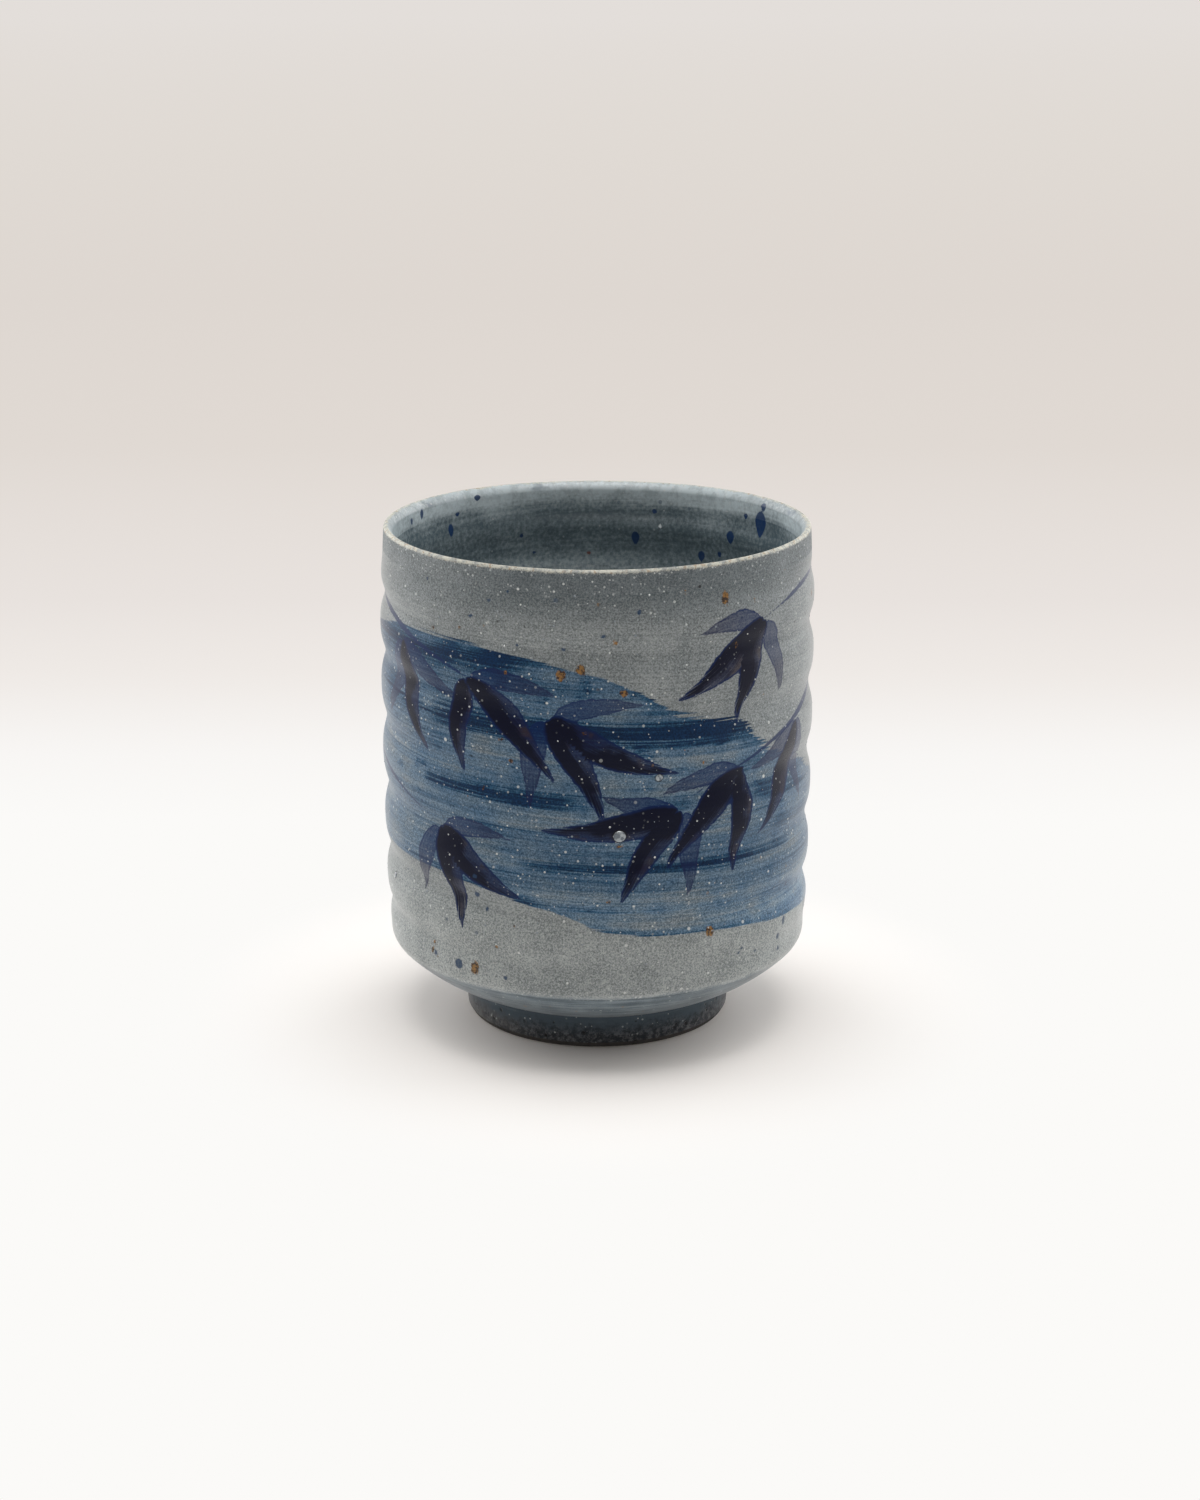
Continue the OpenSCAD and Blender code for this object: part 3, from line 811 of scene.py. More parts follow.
# The painted sprays: watered leaves first, then twigs, then the leaves in full ink
ragged = noise(place, 900, 2.0).swing(0.55) + noise(place, 260, 2.0).swing(0.8) + streaks.swing(0.3)
cover, rim, along, bristles = leaf_layer("watered", ragged)
thin_colour = mix_colours((along + clouds.swing(1.2)).step(0.2, 0.8), INK_BLUE, INK_PURPLE)
rim_pool = rim.step(-0.05, 0.15) * rim.step(0.55, 0.25)
load = 0.78 + rim_pool * 0.18 - (bristles - 0.4) * 0.6 - along * 0.14
painted = mix_colours(cover * load, washed, thin_colour)
twig_cover = (attribute(tree, "twig") + ragged * 0.4).step(-0.05, 0.14)
painted = mix_colours(twig_cover * 0.85, painted, INK_BLUE)
inked_cover, rim, along, bristles = leaf_layer("inked", ragged * 0.8)
side = attribute(tree, "inked_side")
worn = (side * 0.25 + along * 0.5 + clouds.swing(1.6) + bristles.swing(0.8)).step(0.25, 0.75)
worn = worn * rim.step(0.1, 0.6)
ink = laid_over(
    INK_BLACK,
    (worn * 0.8, INK_PURPLE),
    (worn * noise(place, 260, 2.0).step(0.52, 0.66), INK_BROWN),
    (rim.step(0.7, 0.1) * 0.85, INK_BLUE),
)
painted = mix_colours(inked_cover * (0.99 - worn * 0.16), painted, ink)
paint_in = cover.maths("MAXIMUM", inked_cover)

# Spots that burnt out of the clay and lie over the painting, and painted shade round the beads
mottle = noise(place, 1300, 3.0, 0.7)
blue_edge = attribute(tree, "blue_spots") + mottle.swing(0.5)
iron_edge = attribute(tree, "iron") + mottle.swing(1.1)
iron_colour = mix_colours(noise(place, 1900, 2.0).step(0.42, 0.58), IRON_OCHRE, IRON_DARK)
iron_share = (iron_edge.step(-0.12, 0.12) * 0.88).maths("MAXIMUM", specks(place, *RUST_DOTS))
# Painted shade: a dark ring round each glass bead where it rises from the coat
bead_shade = attribute(tree, "bead_edge").step(-0.35, -0.05) * 0.75
spotted = laid_over(
    painted,
    (grey["white"] * (1 - paint_in * 0.6), FELDSPAR),
    (blue_edge.step(*SPOT_EDGE) * 0.85, COBALT_DOT),
    (iron_share, iron_colour),
    (bead_shade, BLACK_DOT),
)
relief = grey["relief"] + iron_edge.step(-0.2, 0.3) * 0.4 + streaks * 0.35
roughness = grain * 0.14 + clouds * 0.1 + 0.26 - paint_in * 0.06
finish_surface(shader, spotted, roughness, relief, relief_mm=0.06)
set_sockets(shader, {"Specular IOR Level": 0.1, "Sheen Weight": 0.4, "Sheen Roughness": 0.35})
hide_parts("outside_glaze")
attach(outside, "root")


# The coat over the lip
# The same glaze runs thin over the rounded lip as it melts, so the pale clay shows through
# as a cream line along the top, and the coat goes on down inside to meet the inside glaze.
CUP_H = 90.0
INNER_HIGH, INNER_LOW = 35.9, 34.15
CORNER_Z, FLOOR_Z, CORNER_R = 20.95, 10.95, 10.0
# The lip is cut close on its outer edge and rolls over further inside
LIP_EDGE_W, LIP_EDGE_H, LIP_ROLL_H, ROLL_FULLNESS = 0.6, 0.65, 1.5, 0.6
OUTSIDE_ROWS, INSIDE_ROWS, EDGE_STEPS, ROLL_STEPS = 8, 8, 12, 16
BACK_EDGE_STEPS, BACK_ROLL_STEPS = 4, 6
LIP_CREAM = srgb(196, 196, 184)
BEVEL_TINT = (0.64, 0.655, 0.665, 1)
DROP_BLUE = srgb(2, 46, 92)
# Heights in mm, measured down from the top of the lip, at which each of its marks comes up, and
# the sides in metres at which the shade lets go
SHADE_RISE, DAPPLE_RISE, FLECK_AND_GLINT_RISE = (-1.9, -1.2), (-3.5, -1.5), (-2.6, -0.9)
SMEAR_RISE, CREAM_RISE, SHADE_SIDES = (-1.8, -1.0), (-0.68, -0.32), (0.031, 0.02)


def inner_r(z):
    """Radius of the glazed hollow above its rounded corner."""
    return INNER_LOW + (INNER_HIGH - INNER_LOW) * (z - CORNER_Z) / (CUP_H - LIP_ROLL_H - CORNER_Z)


def arc(mid_r, mid_z, r, start, stop, steps):
    angles = np.radians(np.linspace(start, stop, steps + 1))
    return [(mid_r + r * math.cos(a), mid_z + r * math.sin(a)) for a in angles]


# Cobalt drops inside: degrees from the front, height, half width and half height in mm
DROPS = [
    (123.5, 85.0, 1.7, 2.5), (122.4, 88.3, 0.8, 0.8), (168.4, 79.1, 0.85, 1.4),
    (136, 81.3, 1.0, 1.3),
    (147.1, 76.7, 0.8, 1.1), (140.6, 77.6, 0.5, 0.7), (130.3, 85.8, 0.6, 0.6),
    (-130.8, 83.1, 0.75, 1.3),
    (-117.3, 87.6, 0.6, 1.1), (-133.9, 85.8, 0.6, 0.5), (-141.7, 88.2, 0.8, 0.6),
    (-110.9, 87, 0.5, 0.8),
    (-156.5, 80.1, 0.5, 0.5), (162.5, 84.4, 0.6, 0.5), (-160.7, 76.5, 0.5, 0.4), (96, 70, 0.8, 1.6),
    (-90, 62, 0.5, 1.4), (40, 74, 0.7, 1.8), (-30, 68, 0.5, 1.2), (10, 55, 0.5, 1.1),
    (-70, 80, 0.4, 0.9),
    (150, 52, 0.5, 1.3), (-150, 45, 0.4, 0.9), (60, 40, 0.4, 0.8),
]


def in_drops(turn, z):
    """For each point, how far it lies inside the nearest drop, in mm. A drop is round above and
    pointed below."""
    best = np.full(len(z), -20.0)
    for drop_turn, drop_z, half_w, half_h in DROPS:
        across = degrees_from(turn, drop_turn) * math.radians(INNER_HIGH)
        up = (z - drop_z) / half_h
        narrowed = half_w * (1.0 - 0.45 * np.clip(0.2 - up, 0, 1.2))
        best = np.maximum(best, (1 - np.hypot(across / narrowed, up)) * half_w)
    return best


def rolled(wide, deep, sunk, start, stop, steps, fullness=1.0):
    """A quarter of the lip's section, sunk by a depth below its glaze. It is an ellipse, and
    straighter the lower its fullness is."""
    angles = np.radians(np.linspace(start, stop, steps + 1))
    wide, high = wide - sunk, deep - sunk
    power = 2 - fullness
    return [
        (
            lip_mid + wide * math.copysign(abs(math.cos(a)) ** power, math.cos(a)),
            CUP_H - deep + high * math.sin(a) ** power,
        )
        for a in angles
    ]


lip_mid = float(wall_r(LIP_Z)) - LIP_EDGE_W
roll_w = lip_mid - INNER_HIGH
lip_outline = (
    wall_rows(WALL_HIGH, LIP_Z, OUTSIDE_ROWS)
    + rolled(LIP_EDGE_W, LIP_EDGE_H, 0, 0, 90, EDGE_STEPS)[1:]
    + rolled(roll_w, LIP_ROLL_H, 0, 90, 180, ROLL_STEPS, ROLL_FULLNESS)[1:]
    + [(inner_r(z), z) for z in np.linspace(CUP_H - LIP_ROLL_H, WALL_HIGH, INSIDE_ROWS)[1:]]
    + [(inner_r(WALL_HIGH) + COAT, WALL_HIGH)]
    + rolled(roll_w, LIP_ROLL_H, COAT, 180, 90, BACK_ROLL_STEPS)
    + rolled(LIP_EDGE_W, LIP_EDGE_H, COAT, 90, 0, BACK_EDGE_STEPS)[1:]
    + [(float(wall_r(WALL_HIGH)) - COAT, WALL_HIGH)]
)
lip_glaze, tree, shader = new_material("lip_glaze")
lip = turned("lip_coat", lip_outline, WALL_SIDES)
keep(lip.data, "rise", points_mm(lip.data)[2] - CUP_H)
with_nodes(lip, thrown, lip_glaze)
turn, height = unrolled(lip.data)
keep(lip.data, "drop", in_drops(turn, height))
INSIDE_DARK = srgb(82, 97, 104)
INSIDE_LIGHT = srgb(200, 212, 216)
# Heights in mm above and below which the inside turns lighter, and how far back in metres the
# painted highlight grows
PALE_ABOVE, PALE_BELOW, BACK = (83, 89.5), (77.5, 74.5), (0.016, 0.033)
INSIDE_WHITE = (1.7, 0.22, 0.16, 0.7, 0.45, 0.0)
INSIDE_DOTS = (4.2, 0.34, 0.12, 6.7, 0.5, 0.25)


def inside_finish(tree):
    """The smoother coat inside: soft finger lines, lighter above the upper ridge where the glaze
    runs thin and as painted light, most of all at the back as a painted highlight, and lighter
    below it as painted light.
    """
    place, x, y, z = object_place(tree)
    z_mm = z * 1000
    grain = noise(place, 1500, 3.0, 0.6)
    clouds = noise(place, 110, 3.0)
    lines = brushed(x, y, z, 70, 1.1, 5.0, -1.8)
    high = (z_mm + clouds.swing(3) + lines.swing(2)).step(*PALE_ABOVE)
    # Painted light: lighter near the lip, where the glaze is also thin, brighter at the back, and
    # lighter below the upper ridge
    thin_and_lit = high * (y.step(*BACK) * 0.34 + 0.8) + z_mm.step(*PALE_BELOW) * 0.26
    tone = grain.swing(1.1) + clouds.swing(0.45) + lines.swing(0.5) + 0.32 + thin_and_lit
    colour = mix_colours(tone.step(0.06, 1.42), INSIDE_DARK, INSIDE_LIGHT)
    white, dark = specks(place, *INSIDE_WHITE), specks(place, *INSIDE_DOTS)
    colour = laid_over(colour, (white, FELDSPAR), (dark, COBALT_DOT))
    relief = grain * 0.2 + lines * 0.5 + clouds
    return {"colour": colour, "rough": grain * 0.08 + clouds * 0.08 + 0.14, "relief": relief}


def mix_terms(share, below, above):
    """A number that goes from one term to another with a share."""
    return below + (above - below) * share


place, x, y, z = object_place(tree)
from_axis = (x * x + y * y).maths("SQRT") * 1000
grey, smooth = grey_glaze(tree), inside_finish(tree)
rise = attribute(tree, "rise")
outer_side = (from_axis + grey["grain"].swing(0.3)).step(lip_mid - 0.3, lip_mid + 0.2)
inner_side = 1 - outer_side
shaded = rise.step(*SHADE_RISE) * y.step(*SHADE_SIDES)
dappled = noise(place, 460, 4.0, 0.7).step(0.56, 0.4) * rise.step(*DAPPLE_RISE) * 0.7
# Pale flecks near the top of the roll: white grains in the glaze, and a painted broken highlight
flecks_and_glint = noise(place, 620, 4.0, 0.8).step(0.52, 0.66) * rise.step(*FLECK_AND_GLINT_RISE) * 0.5
bevel = smooth["colour"]
for share in (shaded, dappled):
    bevel = mix_colours(share, bevel, BEVEL_TINT, "MULTIPLY")
bevel = mix_colours(flecks_and_glint.maths("MAXIMUM", grey["white"] * 0.8), bevel, FELDSPAR)
drops = (attribute(tree, "drop") + grey["grain"].swing(0.25)).step(*SPOT_EDGE)
smears = brushed(x, y, z, 7, 4.0, 41.0, 0.0).step(0.56, 0.68) * rise.step(*SMEAR_RISE)
ragged = grey["clouds"].swing(0.6) + grey["grain"].swing(1.4)
worn = noise(place, 700, 4.0, 0.8)
cream = (rise + ragged * 0.7).step(*CREAM_RISE) * (worn.step(0.38, 0.56) * 0.75 + 0.25)
cream = cream * (from_axis + ragged * 0.8).step(lip_mid - 0.5, lip_mid - 0.1)
lip_colour = laid_over(
    bevel,
    (outer_side, mix_colours(grey["white"], grey["colour"], FELDSPAR)),
    (drops * inner_side * 0.93, DROP_BLUE),
    (smears * inner_side * 0.5, COBALT_DOT),
    (cream, mix_colours(noise(place, 1500, 2.0).step(0.56, 0.66) * 0.6, LIP_CREAM, IRON_OCHRE)),
)
lip_rough = smooth["rough"] + outer_side * 0.1 + worn * 0.2 + 0.06
lip_relief = mix_terms(outer_side, smooth["relief"], grey["relief"])
finish_surface(shader, lip_colour, lip_rough, lip_relief, relief_mm=0.06)
set_sockets(shader, {"Specular IOR Level": 0.3})
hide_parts("lip_glaze")
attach(lip, "root")


# The inside coat
# The same glaze, poured and swilled, lies smoother and glossier inside the cup, over the rings
# that the fingers pressed. Cobalt that dripped from the brush has run down it in long drops.
FINGER_H, FINGER_TOP, FINGER_TILT = 0.28, 76.8, 0.8
FLOOR_RINGS, CORNER_STEPS, BACK_CORNER_STEPS, INSIDE_WALL_ROWS, INSIDE_SIDES = 14, 20, 8, 120, 480
# Two iron spots and two pale ones: degrees, mm, half width and half height in mm
IRON_INSIDE = [(-177.4, 76.1, 0.42, 0.42), (178, 84, 0.25, 0.25)]
PALE_INSIDE = [(160.6, 81.8, 0.42, 0.42), (-147, 84, 0.25, 0.25)]
IRON_RED = srgb(112, 48, 30)
PALE_SPOT = srgb(236, 240, 242)

inside_glaze, tree, shader = new_material("inside_glaze")
inside_outline = (
    [(0, FLOOR_Z)]
    + [(r, FLOOR_Z) for r in np.linspace(1.5, INNER_LOW - CORNER_R, FLOOR_RINGS)]
    + arc(INNER_LOW - CORNER_R, CORNER_Z, CORNER_R, -90, 0, CORNER_STEPS)[1:]
    + [(inner_r(z), z) for z in np.linspace(CORNER_Z, WALL_HIGH, INSIDE_WALL_ROWS)[1:]]
    + [(inner_r(WALL_HIGH) + COAT, WALL_HIGH)]
    + arc(INNER_LOW - CORNER_R, CORNER_Z, CORNER_R + COAT, 0, -90, BACK_CORNER_STEPS)
    + [(0, FLOOR_Z - COAT)]
)
inside = turned("inside_coat", inside_outline, INSIDE_SIDES)
finger_sizes = {
    "Crest Height": FINGER_H, "Stray": 0.0, "Spiral": 0.0, "Tilt": FINGER_TILT,
    "Turn": -2 * math.pi * FINGER_TOP / RIDGE_PITCH, "Low End": CORNER_Z,
}
with_nodes(inside, thrown, inside_glaze, **finger_sizes)
turn, height = unrolled(inside.data)
keep(inside.data, "drop", in_drops(turn, height))
keep(inside.data, "iron", in_spots(turn, height, IRON_INSIDE))
keep(inside.data, "pale", in_spots(turn, height, PALE_INSIDE))
place, _, _, _ = object_place(tree)
smooth = inside_finish(tree)
drops = (attribute(tree, "drop") + noise(place, 1500, 2.0).swing(0.25)).step(*SPOT_EDGE)
inside_colour = laid_over(
    smooth["colour"],
    (drops * 0.93, DROP_BLUE),
    (attribute(tree, "iron").step(-0.1, 0.1) * 0.8, IRON_RED),
    (attribute(tree, "pale").step(-0.1, 0.1), PALE_SPOT),
)
finish_surface(shader, inside_colour, smooth["rough"], smooth["relief"], relief_mm=0.06)
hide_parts("inside_glaze")
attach(inside, "root")


# The coat under the shoulder and on the foot
# Glaze that ran off the turned underside lies smooth and blue-grey over it, and goes thin
# and nearly black down the side of the foot, where pits and ash show in it.
SHOULDER_R, UNDER_SLOPE = 3.5, 45
# Steps along the underside, the corner and the foot's side, in front and at the back of the coat
FRONT_STEPS, BEHIND_STEPS, FOOT_SIDES = (60, 16, 36), (6, 4, 2), 400
FOOT_H, FOOT_R, FOOT_FLARE, BARE_H = 6.0, 23.7, 0.55, 1.0
UNDER_LIGHT = srgb(130, 143, 151)
UNDER_DARK = srgb(74, 90, 100)
DASH_BLUE = srgb(46, 66, 92)
FOOT_BLUE = srgb(66, 79, 89)
FOOT_DARK = srgb(36, 41, 47)
FOOT_GREY = srgb(112, 113, 116)
FOOT_WARM = srgb(98, 97, 95)
PIT_BLACK = srgb(8, 8, 9)
# Heights in mm at which the coat turns dark, goes bare and thin, shows pits and meets the grey
DARKENS, GOES_THIN, PITS_BELOW, MEETS_GREY = (10.5, 4.8), (5.4, 1.8), (6.0, 4.4), (14.0, 15.2)
STARS_ABOVE, CRUMB_LINE = (3.0, 7.0), ((13.9, 14.5), (15.4, 14.8))
# Where the foot turns warmer to the left, in metres
WARM_SIDE = (-0.008, -0.022)
PITS = (1.8, 0.55, 0.3, 9.1)
ASH = (0.9, 0.34, 0.27, 2.1, 0.5, 0.1)
STARS = (1.9, 0.45, 0.16, 6.3, 0.4, 0.5)
BROWN_CRUMBS = (4.2, 0.3, 0.11, 14.1, 0.0, 0.7)
PALE_CRUMBS = (0.9, 0.34, 0.3, 4.4, 0.0, 0.6)

shoulder_mid = BELLY_R - SHOULDER_IN - SHOULDER_R
under_end = math.radians(UNDER_SLOPE - 90)
end_r = shoulder_mid + SHOULDER_R * math.cos(under_end)
end_z = WALL_LOW + SHOULDER_R * math.sin(under_end)
foot_top = FOOT_R + FOOT_FLARE
chord_slope = math.atan2(end_z - FOOT_H, end_r - foot_top)
under_start = 2 * chord_slope - math.radians(UNDER_SLOPE + 90)
half_angle = (under_end - under_start) / 2
under_r = math.hypot(end_r - foot_top, end_z - FOOT_H) / (2 * math.sin(half_angle))
under_mid = (end_r - under_r * math.cos(under_end), end_z - under_r * math.sin(under_end))


def foot_outline(depth, under_steps, corner_steps, side_steps):
    """The foot's side, the wide arc of the underside and the shoulder's corner, sunk by a depth."""
    sides = [
        (FOOT_R + FOOT_FLARE * z / FOOT_H - depth, z)
        for z in np.linspace(BARE_H, FOOT_H, side_steps + 1)
    ]
    under = arc(
        *under_mid, under_r - depth, math.degrees(under_start), math.degrees(under_end), under_steps
    )
    corner = arc(shoulder_mid, WALL_LOW, SHOULDER_R - depth, UNDER_SLOPE - 90, 0, corner_steps)
    return sides + under[1:] + corner[1:]


foot_coat_glaze, tree, shader = new_material("foot_glaze")
foot_back = foot_outline(COAT, *BEHIND_STEPS)[::-1]
foot_coat = turned("foot_coat", foot_outline(SKIN_IN, *FRONT_STEPS) + foot_back, FOOT_SIDES)
foot_coat.data.materials.append(foot_coat_glaze)
place, x, y, z = object_place(tree)
z_mm = z * 1000
grey = grey_glaze(tree)
grain, clouds = grey["grain"], noise(place, 260, 3.0)
mottles = noise(place, 900, 4.0, 0.7)
lines = brushed(x, y, z, 16, 0.5, 7.0, 0.0)
dashes = brushed(x, y, z, 9, 0.35, 31.0, 0.0).step(0.62, 0.7)
pits_show = z_mm.step(*PITS_BELOW)
pits = specks(place, *PITS) * pits_show
foot = laid_over(
    mix_colours((mottles + grain.swing(0.6)).step(0.4, 0.72), FOOT_DARK, FOOT_GREY),
    (x.step(*WARM_SIDE) * clouds.step(0.3, 0.6) * 0.6, FOOT_WARM),
)
smooth_tone = grain.swing(0.7) + clouds.swing(0.7) + lines.swing(1.3) + 0.48
darkened = (z_mm + clouds.swing(2.5) + lines.swing(3)).step(*DARKENS)
shoulder = (z_mm + clouds.swing(1.2) + grain.swing(1.6)).step(*MEETS_GREY)
crumb_line = z_mm.step(*CRUMB_LINE[0]) * z_mm.step(*CRUMB_LINE[1])
colour = laid_over(
    mix_colours(smooth_tone.step(0.2, 0.8), UNDER_DARK, UNDER_LIGHT),
    (dashes * 0.55, DASH_BLUE),
    (darkened, FOOT_BLUE),
    ((z_mm + clouds.swing(3.0) + mottles.swing(6.0)).step(*GOES_THIN), foot),
    (specks(place, *PITS, 0.4, 0.5) * pits_show, PIT_BLACK),
    (specks(place, *ASH), FELDSPAR),
    (specks(place, *STARS) * z_mm.step(*STARS_ABOVE), FELDSPAR),
    (specks(place, *BROWN_CRUMBS), IRON_OCHRE),
    (shoulder, mix_colours(grey["white"], grey["colour"], FELDSPAR)),
    (crumb_line * (specks(place, *PALE_CRUMBS) + clouds * 0.35), FELDSPAR),
)
foot_rough = grain * 0.14 + darkened * 0.16 + 0.24
foot_relief = mix_terms(shoulder, grain * 0.2 + lines * 0.5 + clouds - pits * 1.2, grey["relief"])
finish_surface(shader, colour, foot_rough, foot_relief, relief_mm=0.08)
set_sockets(shader, {"Specular IOR Level": 0.2, "Sheen Weight": 0.2, "Sheen Roughness": 0.35})
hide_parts("foot_glaze")
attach(foot_coat, "root")


# The foot ring
# Turned from the same clay with a looped tool. It is wiped clean of glaze where it stands,
# so the fired clay shows there, dark and warm, with the tool's fine rings in it.
RING_WIDTH, EDGE_R, WELL_IN = 3.1, 0.6, 0.8
RING_SIDES, RING_EDGE_STEPS = 320, 8
RING_DARK = srgb(32, 31, 31)
RING_LIGHT = srgb(70, 66, 62)
SPECK_TAN = srgb(186, 178, 160)
TAN_SPECKS = (1.6, 0.3, 0.2, 0.7, 0.7, 0.0)

ring_out = FOOT_R - COAT
ring_in = ring_out - RING_WIDTH
ring_outline = (
    arc(ring_out - EDGE_R, EDGE_R, EDGE_R, -90, 0, RING_EDGE_STEPS)
    + [(foot_top - COAT, FOOT_H), (ring_in - WELL_IN, FOOT_H)]
    + arc(ring_in + EDGE_R, EDGE_R, EDGE_R, 180, 270, RING_EDGE_STEPS)
    + [(r, 0) for r in np.linspace(ring_in + EDGE_R, ring_out - EDGE_R, 10)[1:-1]]
)
ring_clay, tree, shader = new_material("bare_foot_clay")
ring = turned("foot_ring_clay", ring_outline, RING_SIDES)
ring.data.materials.append(ring_clay)
place, x, y, _ = object_place(tree)
from_axis = (x * x + y * y).maths("SQRT")
grain = noise(place, 1800, 4.0, 0.7)
clouds = noise(place, 200, 3.0)
tool_rings = noise(from_axis.node("ShaderNodeCombineXYZ", {0: from_axis}), 2600, 2.0)
tone = grain * 0.5 + clouds * 0.4 + tool_rings * 0.35 - 0.1
clay_colour = mix_colours(tone.step(0.3, 0.75), RING_DARK, RING_LIGHT)
clay_colour = mix_colours(specks(place, *TAN_SPECKS), clay_colour, SPECK_TAN)
finish_surface(shader, clay_colour, None, grain * 0.8 + tool_rings, relief_mm=0.08)
set_sockets(shader, {"Roughness": 0.82})
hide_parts("foot_ring")
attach(ring, "root")


# The coat in the hollow of the foot
# The same grey glaze under the cup, thicker in the corner where it pooled. The turning tool
# left a spiral that runs out from the middle.
WELL_FILL, WELL_SIDES, WELL_ROWS = 1.2, 256, 60
WELL_WHITE = (2.0, 0.3, 0.2, 0.7, 0.5, 0.2)
WELL_DOTS = (3.4, 0.3, 0.14, 6.7, 0.4, 0.3)
# The turning spiral in mm: its pitch and depth, and where it ends and how far it fades
SWIRL_PITCH, SWIRL_DEPTH, SWIRL_END_R, SWIRL_FADE = 2.6, 0.12, 17, 3

well_side = ring_in - WELL_IN * BARE_H / FOOT_H
roof = FOOT_H - COAT
well_outline = (
    [(0, FOOT_H), (0, roof)]
    + [(r, roof) for r in np.linspace(0.5, ring_in - WELL_IN - COAT - WELL_FILL, WELL_ROWS)]
    + arc(ring_in - WELL_IN - COAT - WELL_FILL, roof - WELL_FILL, WELL_FILL, 90, 0, 10)[1:]
    + [(well_side - COAT, BARE_H), (well_side, BARE_H), (ring_in - WELL_IN, FOOT_H)]
)
well_glaze, tree, shader = new_material("well_glaze")
well = turned("well_coat", well_outline, WELL_SIDES)
well.data.materials.append(well_glaze)
x_mm, y_mm, level = points_mm(well.data)
radius = np.hypot(x_mm, y_mm)
swirl = np.arctan2(y_mm, x_mm) + radius * 2 * math.pi / SWIRL_PITCH
on_roof = (np.abs(level - roof) < 0.01) & (radius > 0.1)
cut = SWIRL_DEPTH / 2 * (1 + np.sin(swirl)) * np.clip((SWIRL_END_R - radius) / SWIRL_FADE, 0, 1)
cut_points = np.stack((x_mm, y_mm, level - on_roof * cut), axis=1) / 1000
well.data.vertices.foreach_set("co", cut_points.ravel())
well.data.update()
place, _, _, z = object_place(tree)
grain = noise(place, 2200, 2.0, 0.7)
clouds = noise(place, 130, 3.0)
well_colour = laid_over(
    mix_colours((grain * 0.7 + clouds * 0.4).step(0.3, 0.8), GREY_DARK, GREY_LIGHT),
    ((z * 1000).step(3.0, 1.2), FOOT_GREY),
    (specks(place, *WELL_WHITE), FELDSPAR),
    (specks(place, *WELL_DOTS), IRON_DARK),
)
finish_surface(shader, well_colour, grain * 0.14 + 0.26, grain * 0.3 + clouds, relief_mm=0.08)
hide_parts("well_glaze")
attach(well, "root")


# Feldspar and glass that stand out of the outside coat
# Grains of feldspar in the clay swell as they melt and stand proud as low white domes, and a
# few have boiled out through the glaze as clear beads.
GRAIN_DENSITY = 110000.0
GRAIN_R, GRAIN_SEED = 0.22, 7
SHEET_ROWS, SHEET_SIDES = 60, 120
BEAD_DEPTH = 0.34
MILK_SHADE = srgb(120, 132, 142)
BEAD_DARK = srgb(74, 86, 98)
BEAD_LIGHT = srgb(150, 160, 166)


def grain_tree():
    """Scatters low domes over a sheet, each turned to face out of it."""
    sizes = {"Density": GRAIN_DENSITY, "Largest Radius": GRAIN_R / 1000, "Seed": GRAIN_SEED}
    tree, given = start_tree("melted_grains", sizes)
    spread = add_node(
        tree, "GeometryNodeDistributePointsOnFaces",
        {"Mesh": given["Geometry"], "Density": given["Density"], "Seed": given["Seed"]},
    )
    points, turned_out = (Term(tree, spread.outputs[name]) for name in ("Points", "Rotation"))
    ball = points.node("GeometryNodeMeshUVSphere", {"Radius": 1.0, "Segments": 8, "Rings": 5})
    dome = points.node("GeometryNodeSetShadeSmooth", {"Geometry": ball})
    random = add_node(
        tree, "FunctionNodeRandomValue", {2: 0.3, 3: 1.0, "Seed": given["Seed"]}, data_type="FLOAT"
    )
    share = Term(tree, random.outputs[1])
    size = share * share * given["Largest Radius"]
    shape = size.node("ShaderNodeCombineXYZ", {0: size, 1: size, 2: size * 0.4})
    placed = points.node(
        "GeometryNodeInstanceOnPoints",
        {"Points": points, "Instance": dome, "Rotation": turned_out, "Scale": shape},
    )
    return end_tree(placed, given["Material"])


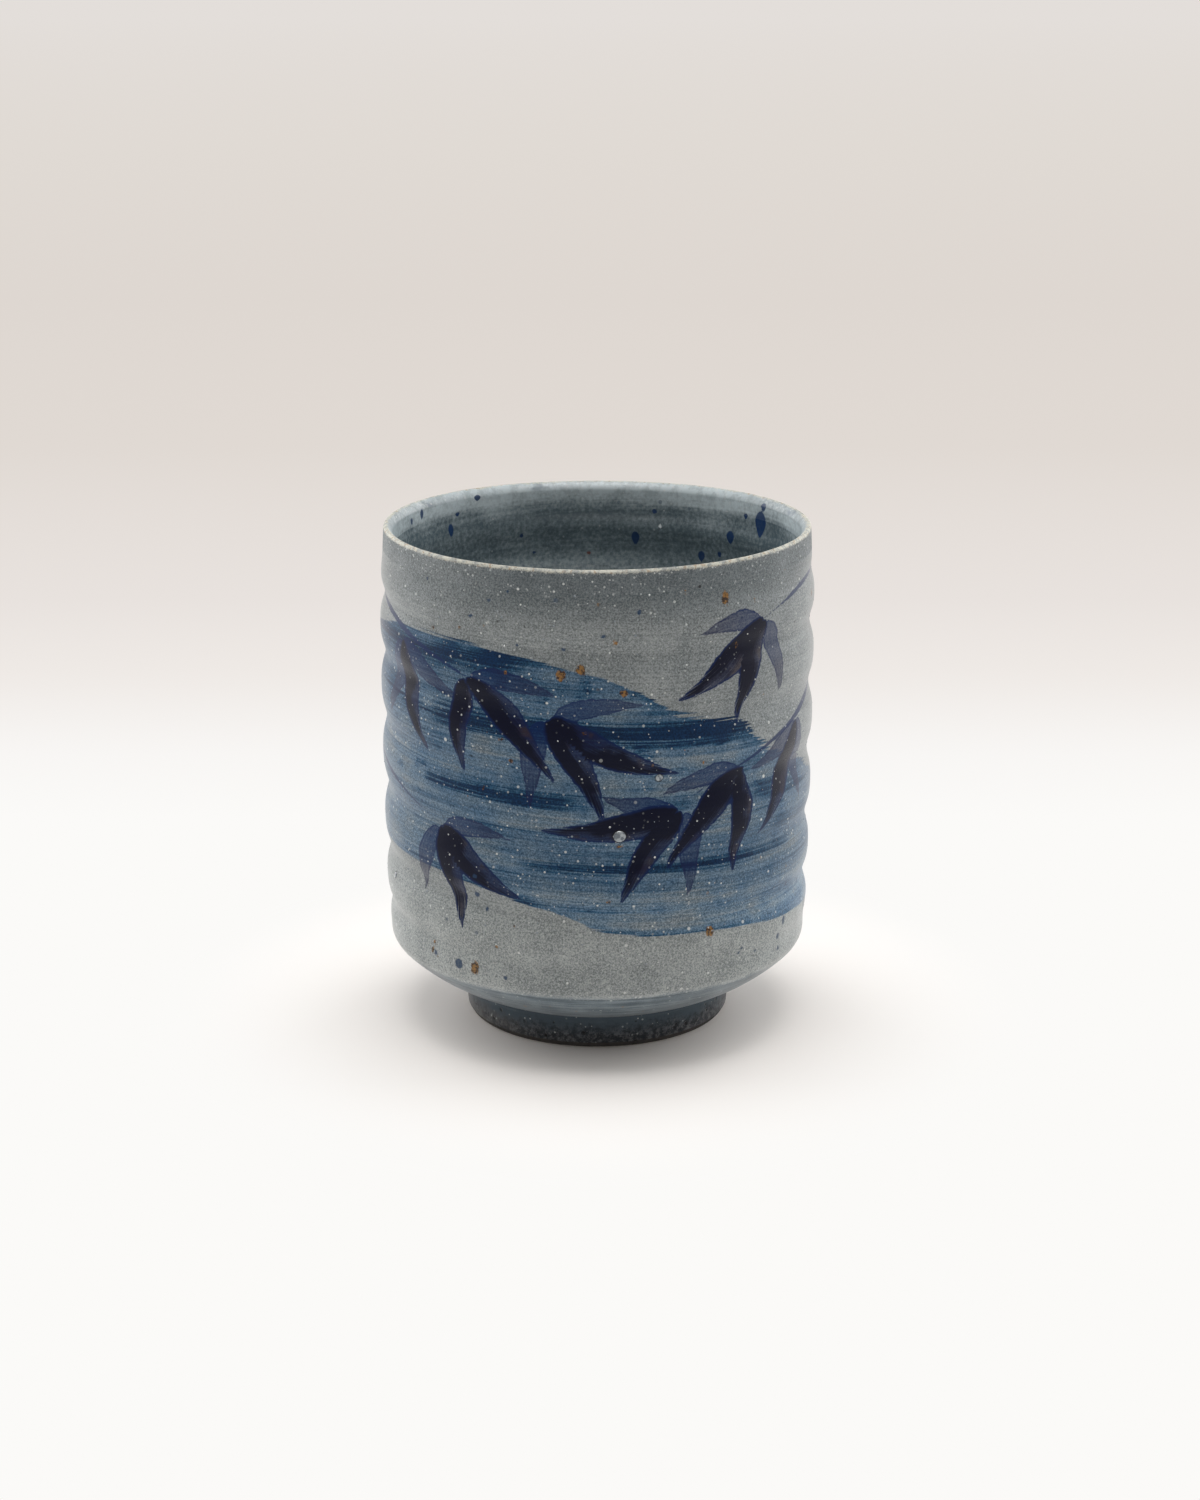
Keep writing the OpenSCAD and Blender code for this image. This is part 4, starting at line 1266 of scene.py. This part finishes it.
feldspar, tree, shader = new_material("melted_feldspar")
place, _, _, _ = object_place(tree)
milky = noise(place, 700, 2.0)
finish_surface(shader, mix_colours(milky.step(0.35, 0.65), MILK_SHADE, FELDSPAR))
set_sockets(shader, {"Roughness": 0.22, "Coat Weight": 0.4, "Coat Roughness": 0.08})

sheet_points, sheet_faces = [], []
for r, z in wall_rows(WALL_LOW + 2, WALL_HIGH, SHEET_ROWS):
    sheet_points += ring_points(r, z, SHEET_SIDES)
for low in range(0, SHEET_ROWS * SHEET_SIDES, SHEET_SIDES):
    high = low + SHEET_SIDES
    for i in range(SHEET_SIDES):
        k = (i + 1) % SHEET_SIDES
        sheet_faces.append((low + i, low + k, high + k, high + i))
grains = mesh_object("feldspar_grains", sheet_points, sheet_faces)
with_nodes(grains, thrown, feldspar)
with_nodes(grains, grain_tree(), feldspar)
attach(grains, "root")

bead_glass, tree, shader = new_material("bead_glass")
place, _, _, _ = object_place(tree)
milky = noise(place, 1100, 3.0)
finish_surface(shader, mix_colours(milky.step(0.4, 0.6), BEAD_DARK, BEAD_LIGHT))
set_sockets(shader, {"Roughness": 0.08, "Coat Weight": 1.0, "Coat Roughness": 0.03})


def surface_at(piece, degrees, z_mm):
    """The point of a piece's outer skin at a turn from the front and a height."""
    a = math.radians(degrees)
    out = (math.sin(a), -math.cos(a), 0)
    far = [0.08 * c for c in out[:2]] + [z_mm / 1000]
    _, point, normal, _ = piece.ray_cast(far, [-c for c in out])
    return point, normal


bead_parts = bmesh.new()
for degrees, z_mm, r_mm in BEADS:
    point, normal = surface_at(outside, degrees, z_mm)
    turn_out = normal.to_track_quat("Z", "Y").to_matrix().to_4x4()
    made = bmesh.ops.create_icosphere(bead_parts, subdivisions=4, radius=r_mm / 1000)
    for vert in made["verts"]:
        vert.co.z *= BEAD_DEPTH
        vert.co = turn_out @ vert.co + point
bead_mesh = bpy.data.meshes.new("glass_beads")
bead_parts.to_mesh(bead_mesh)
bead_parts.free()
bead_mesh.polygons.foreach_set("use_smooth", [True] * len(bead_mesh.polygons))
bead_mesh.materials.append(bead_glass)
beads = bpy.data.objects.new("glass_beads", bead_mesh)
scene.collection.objects.link(beads)
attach(beads, "root")
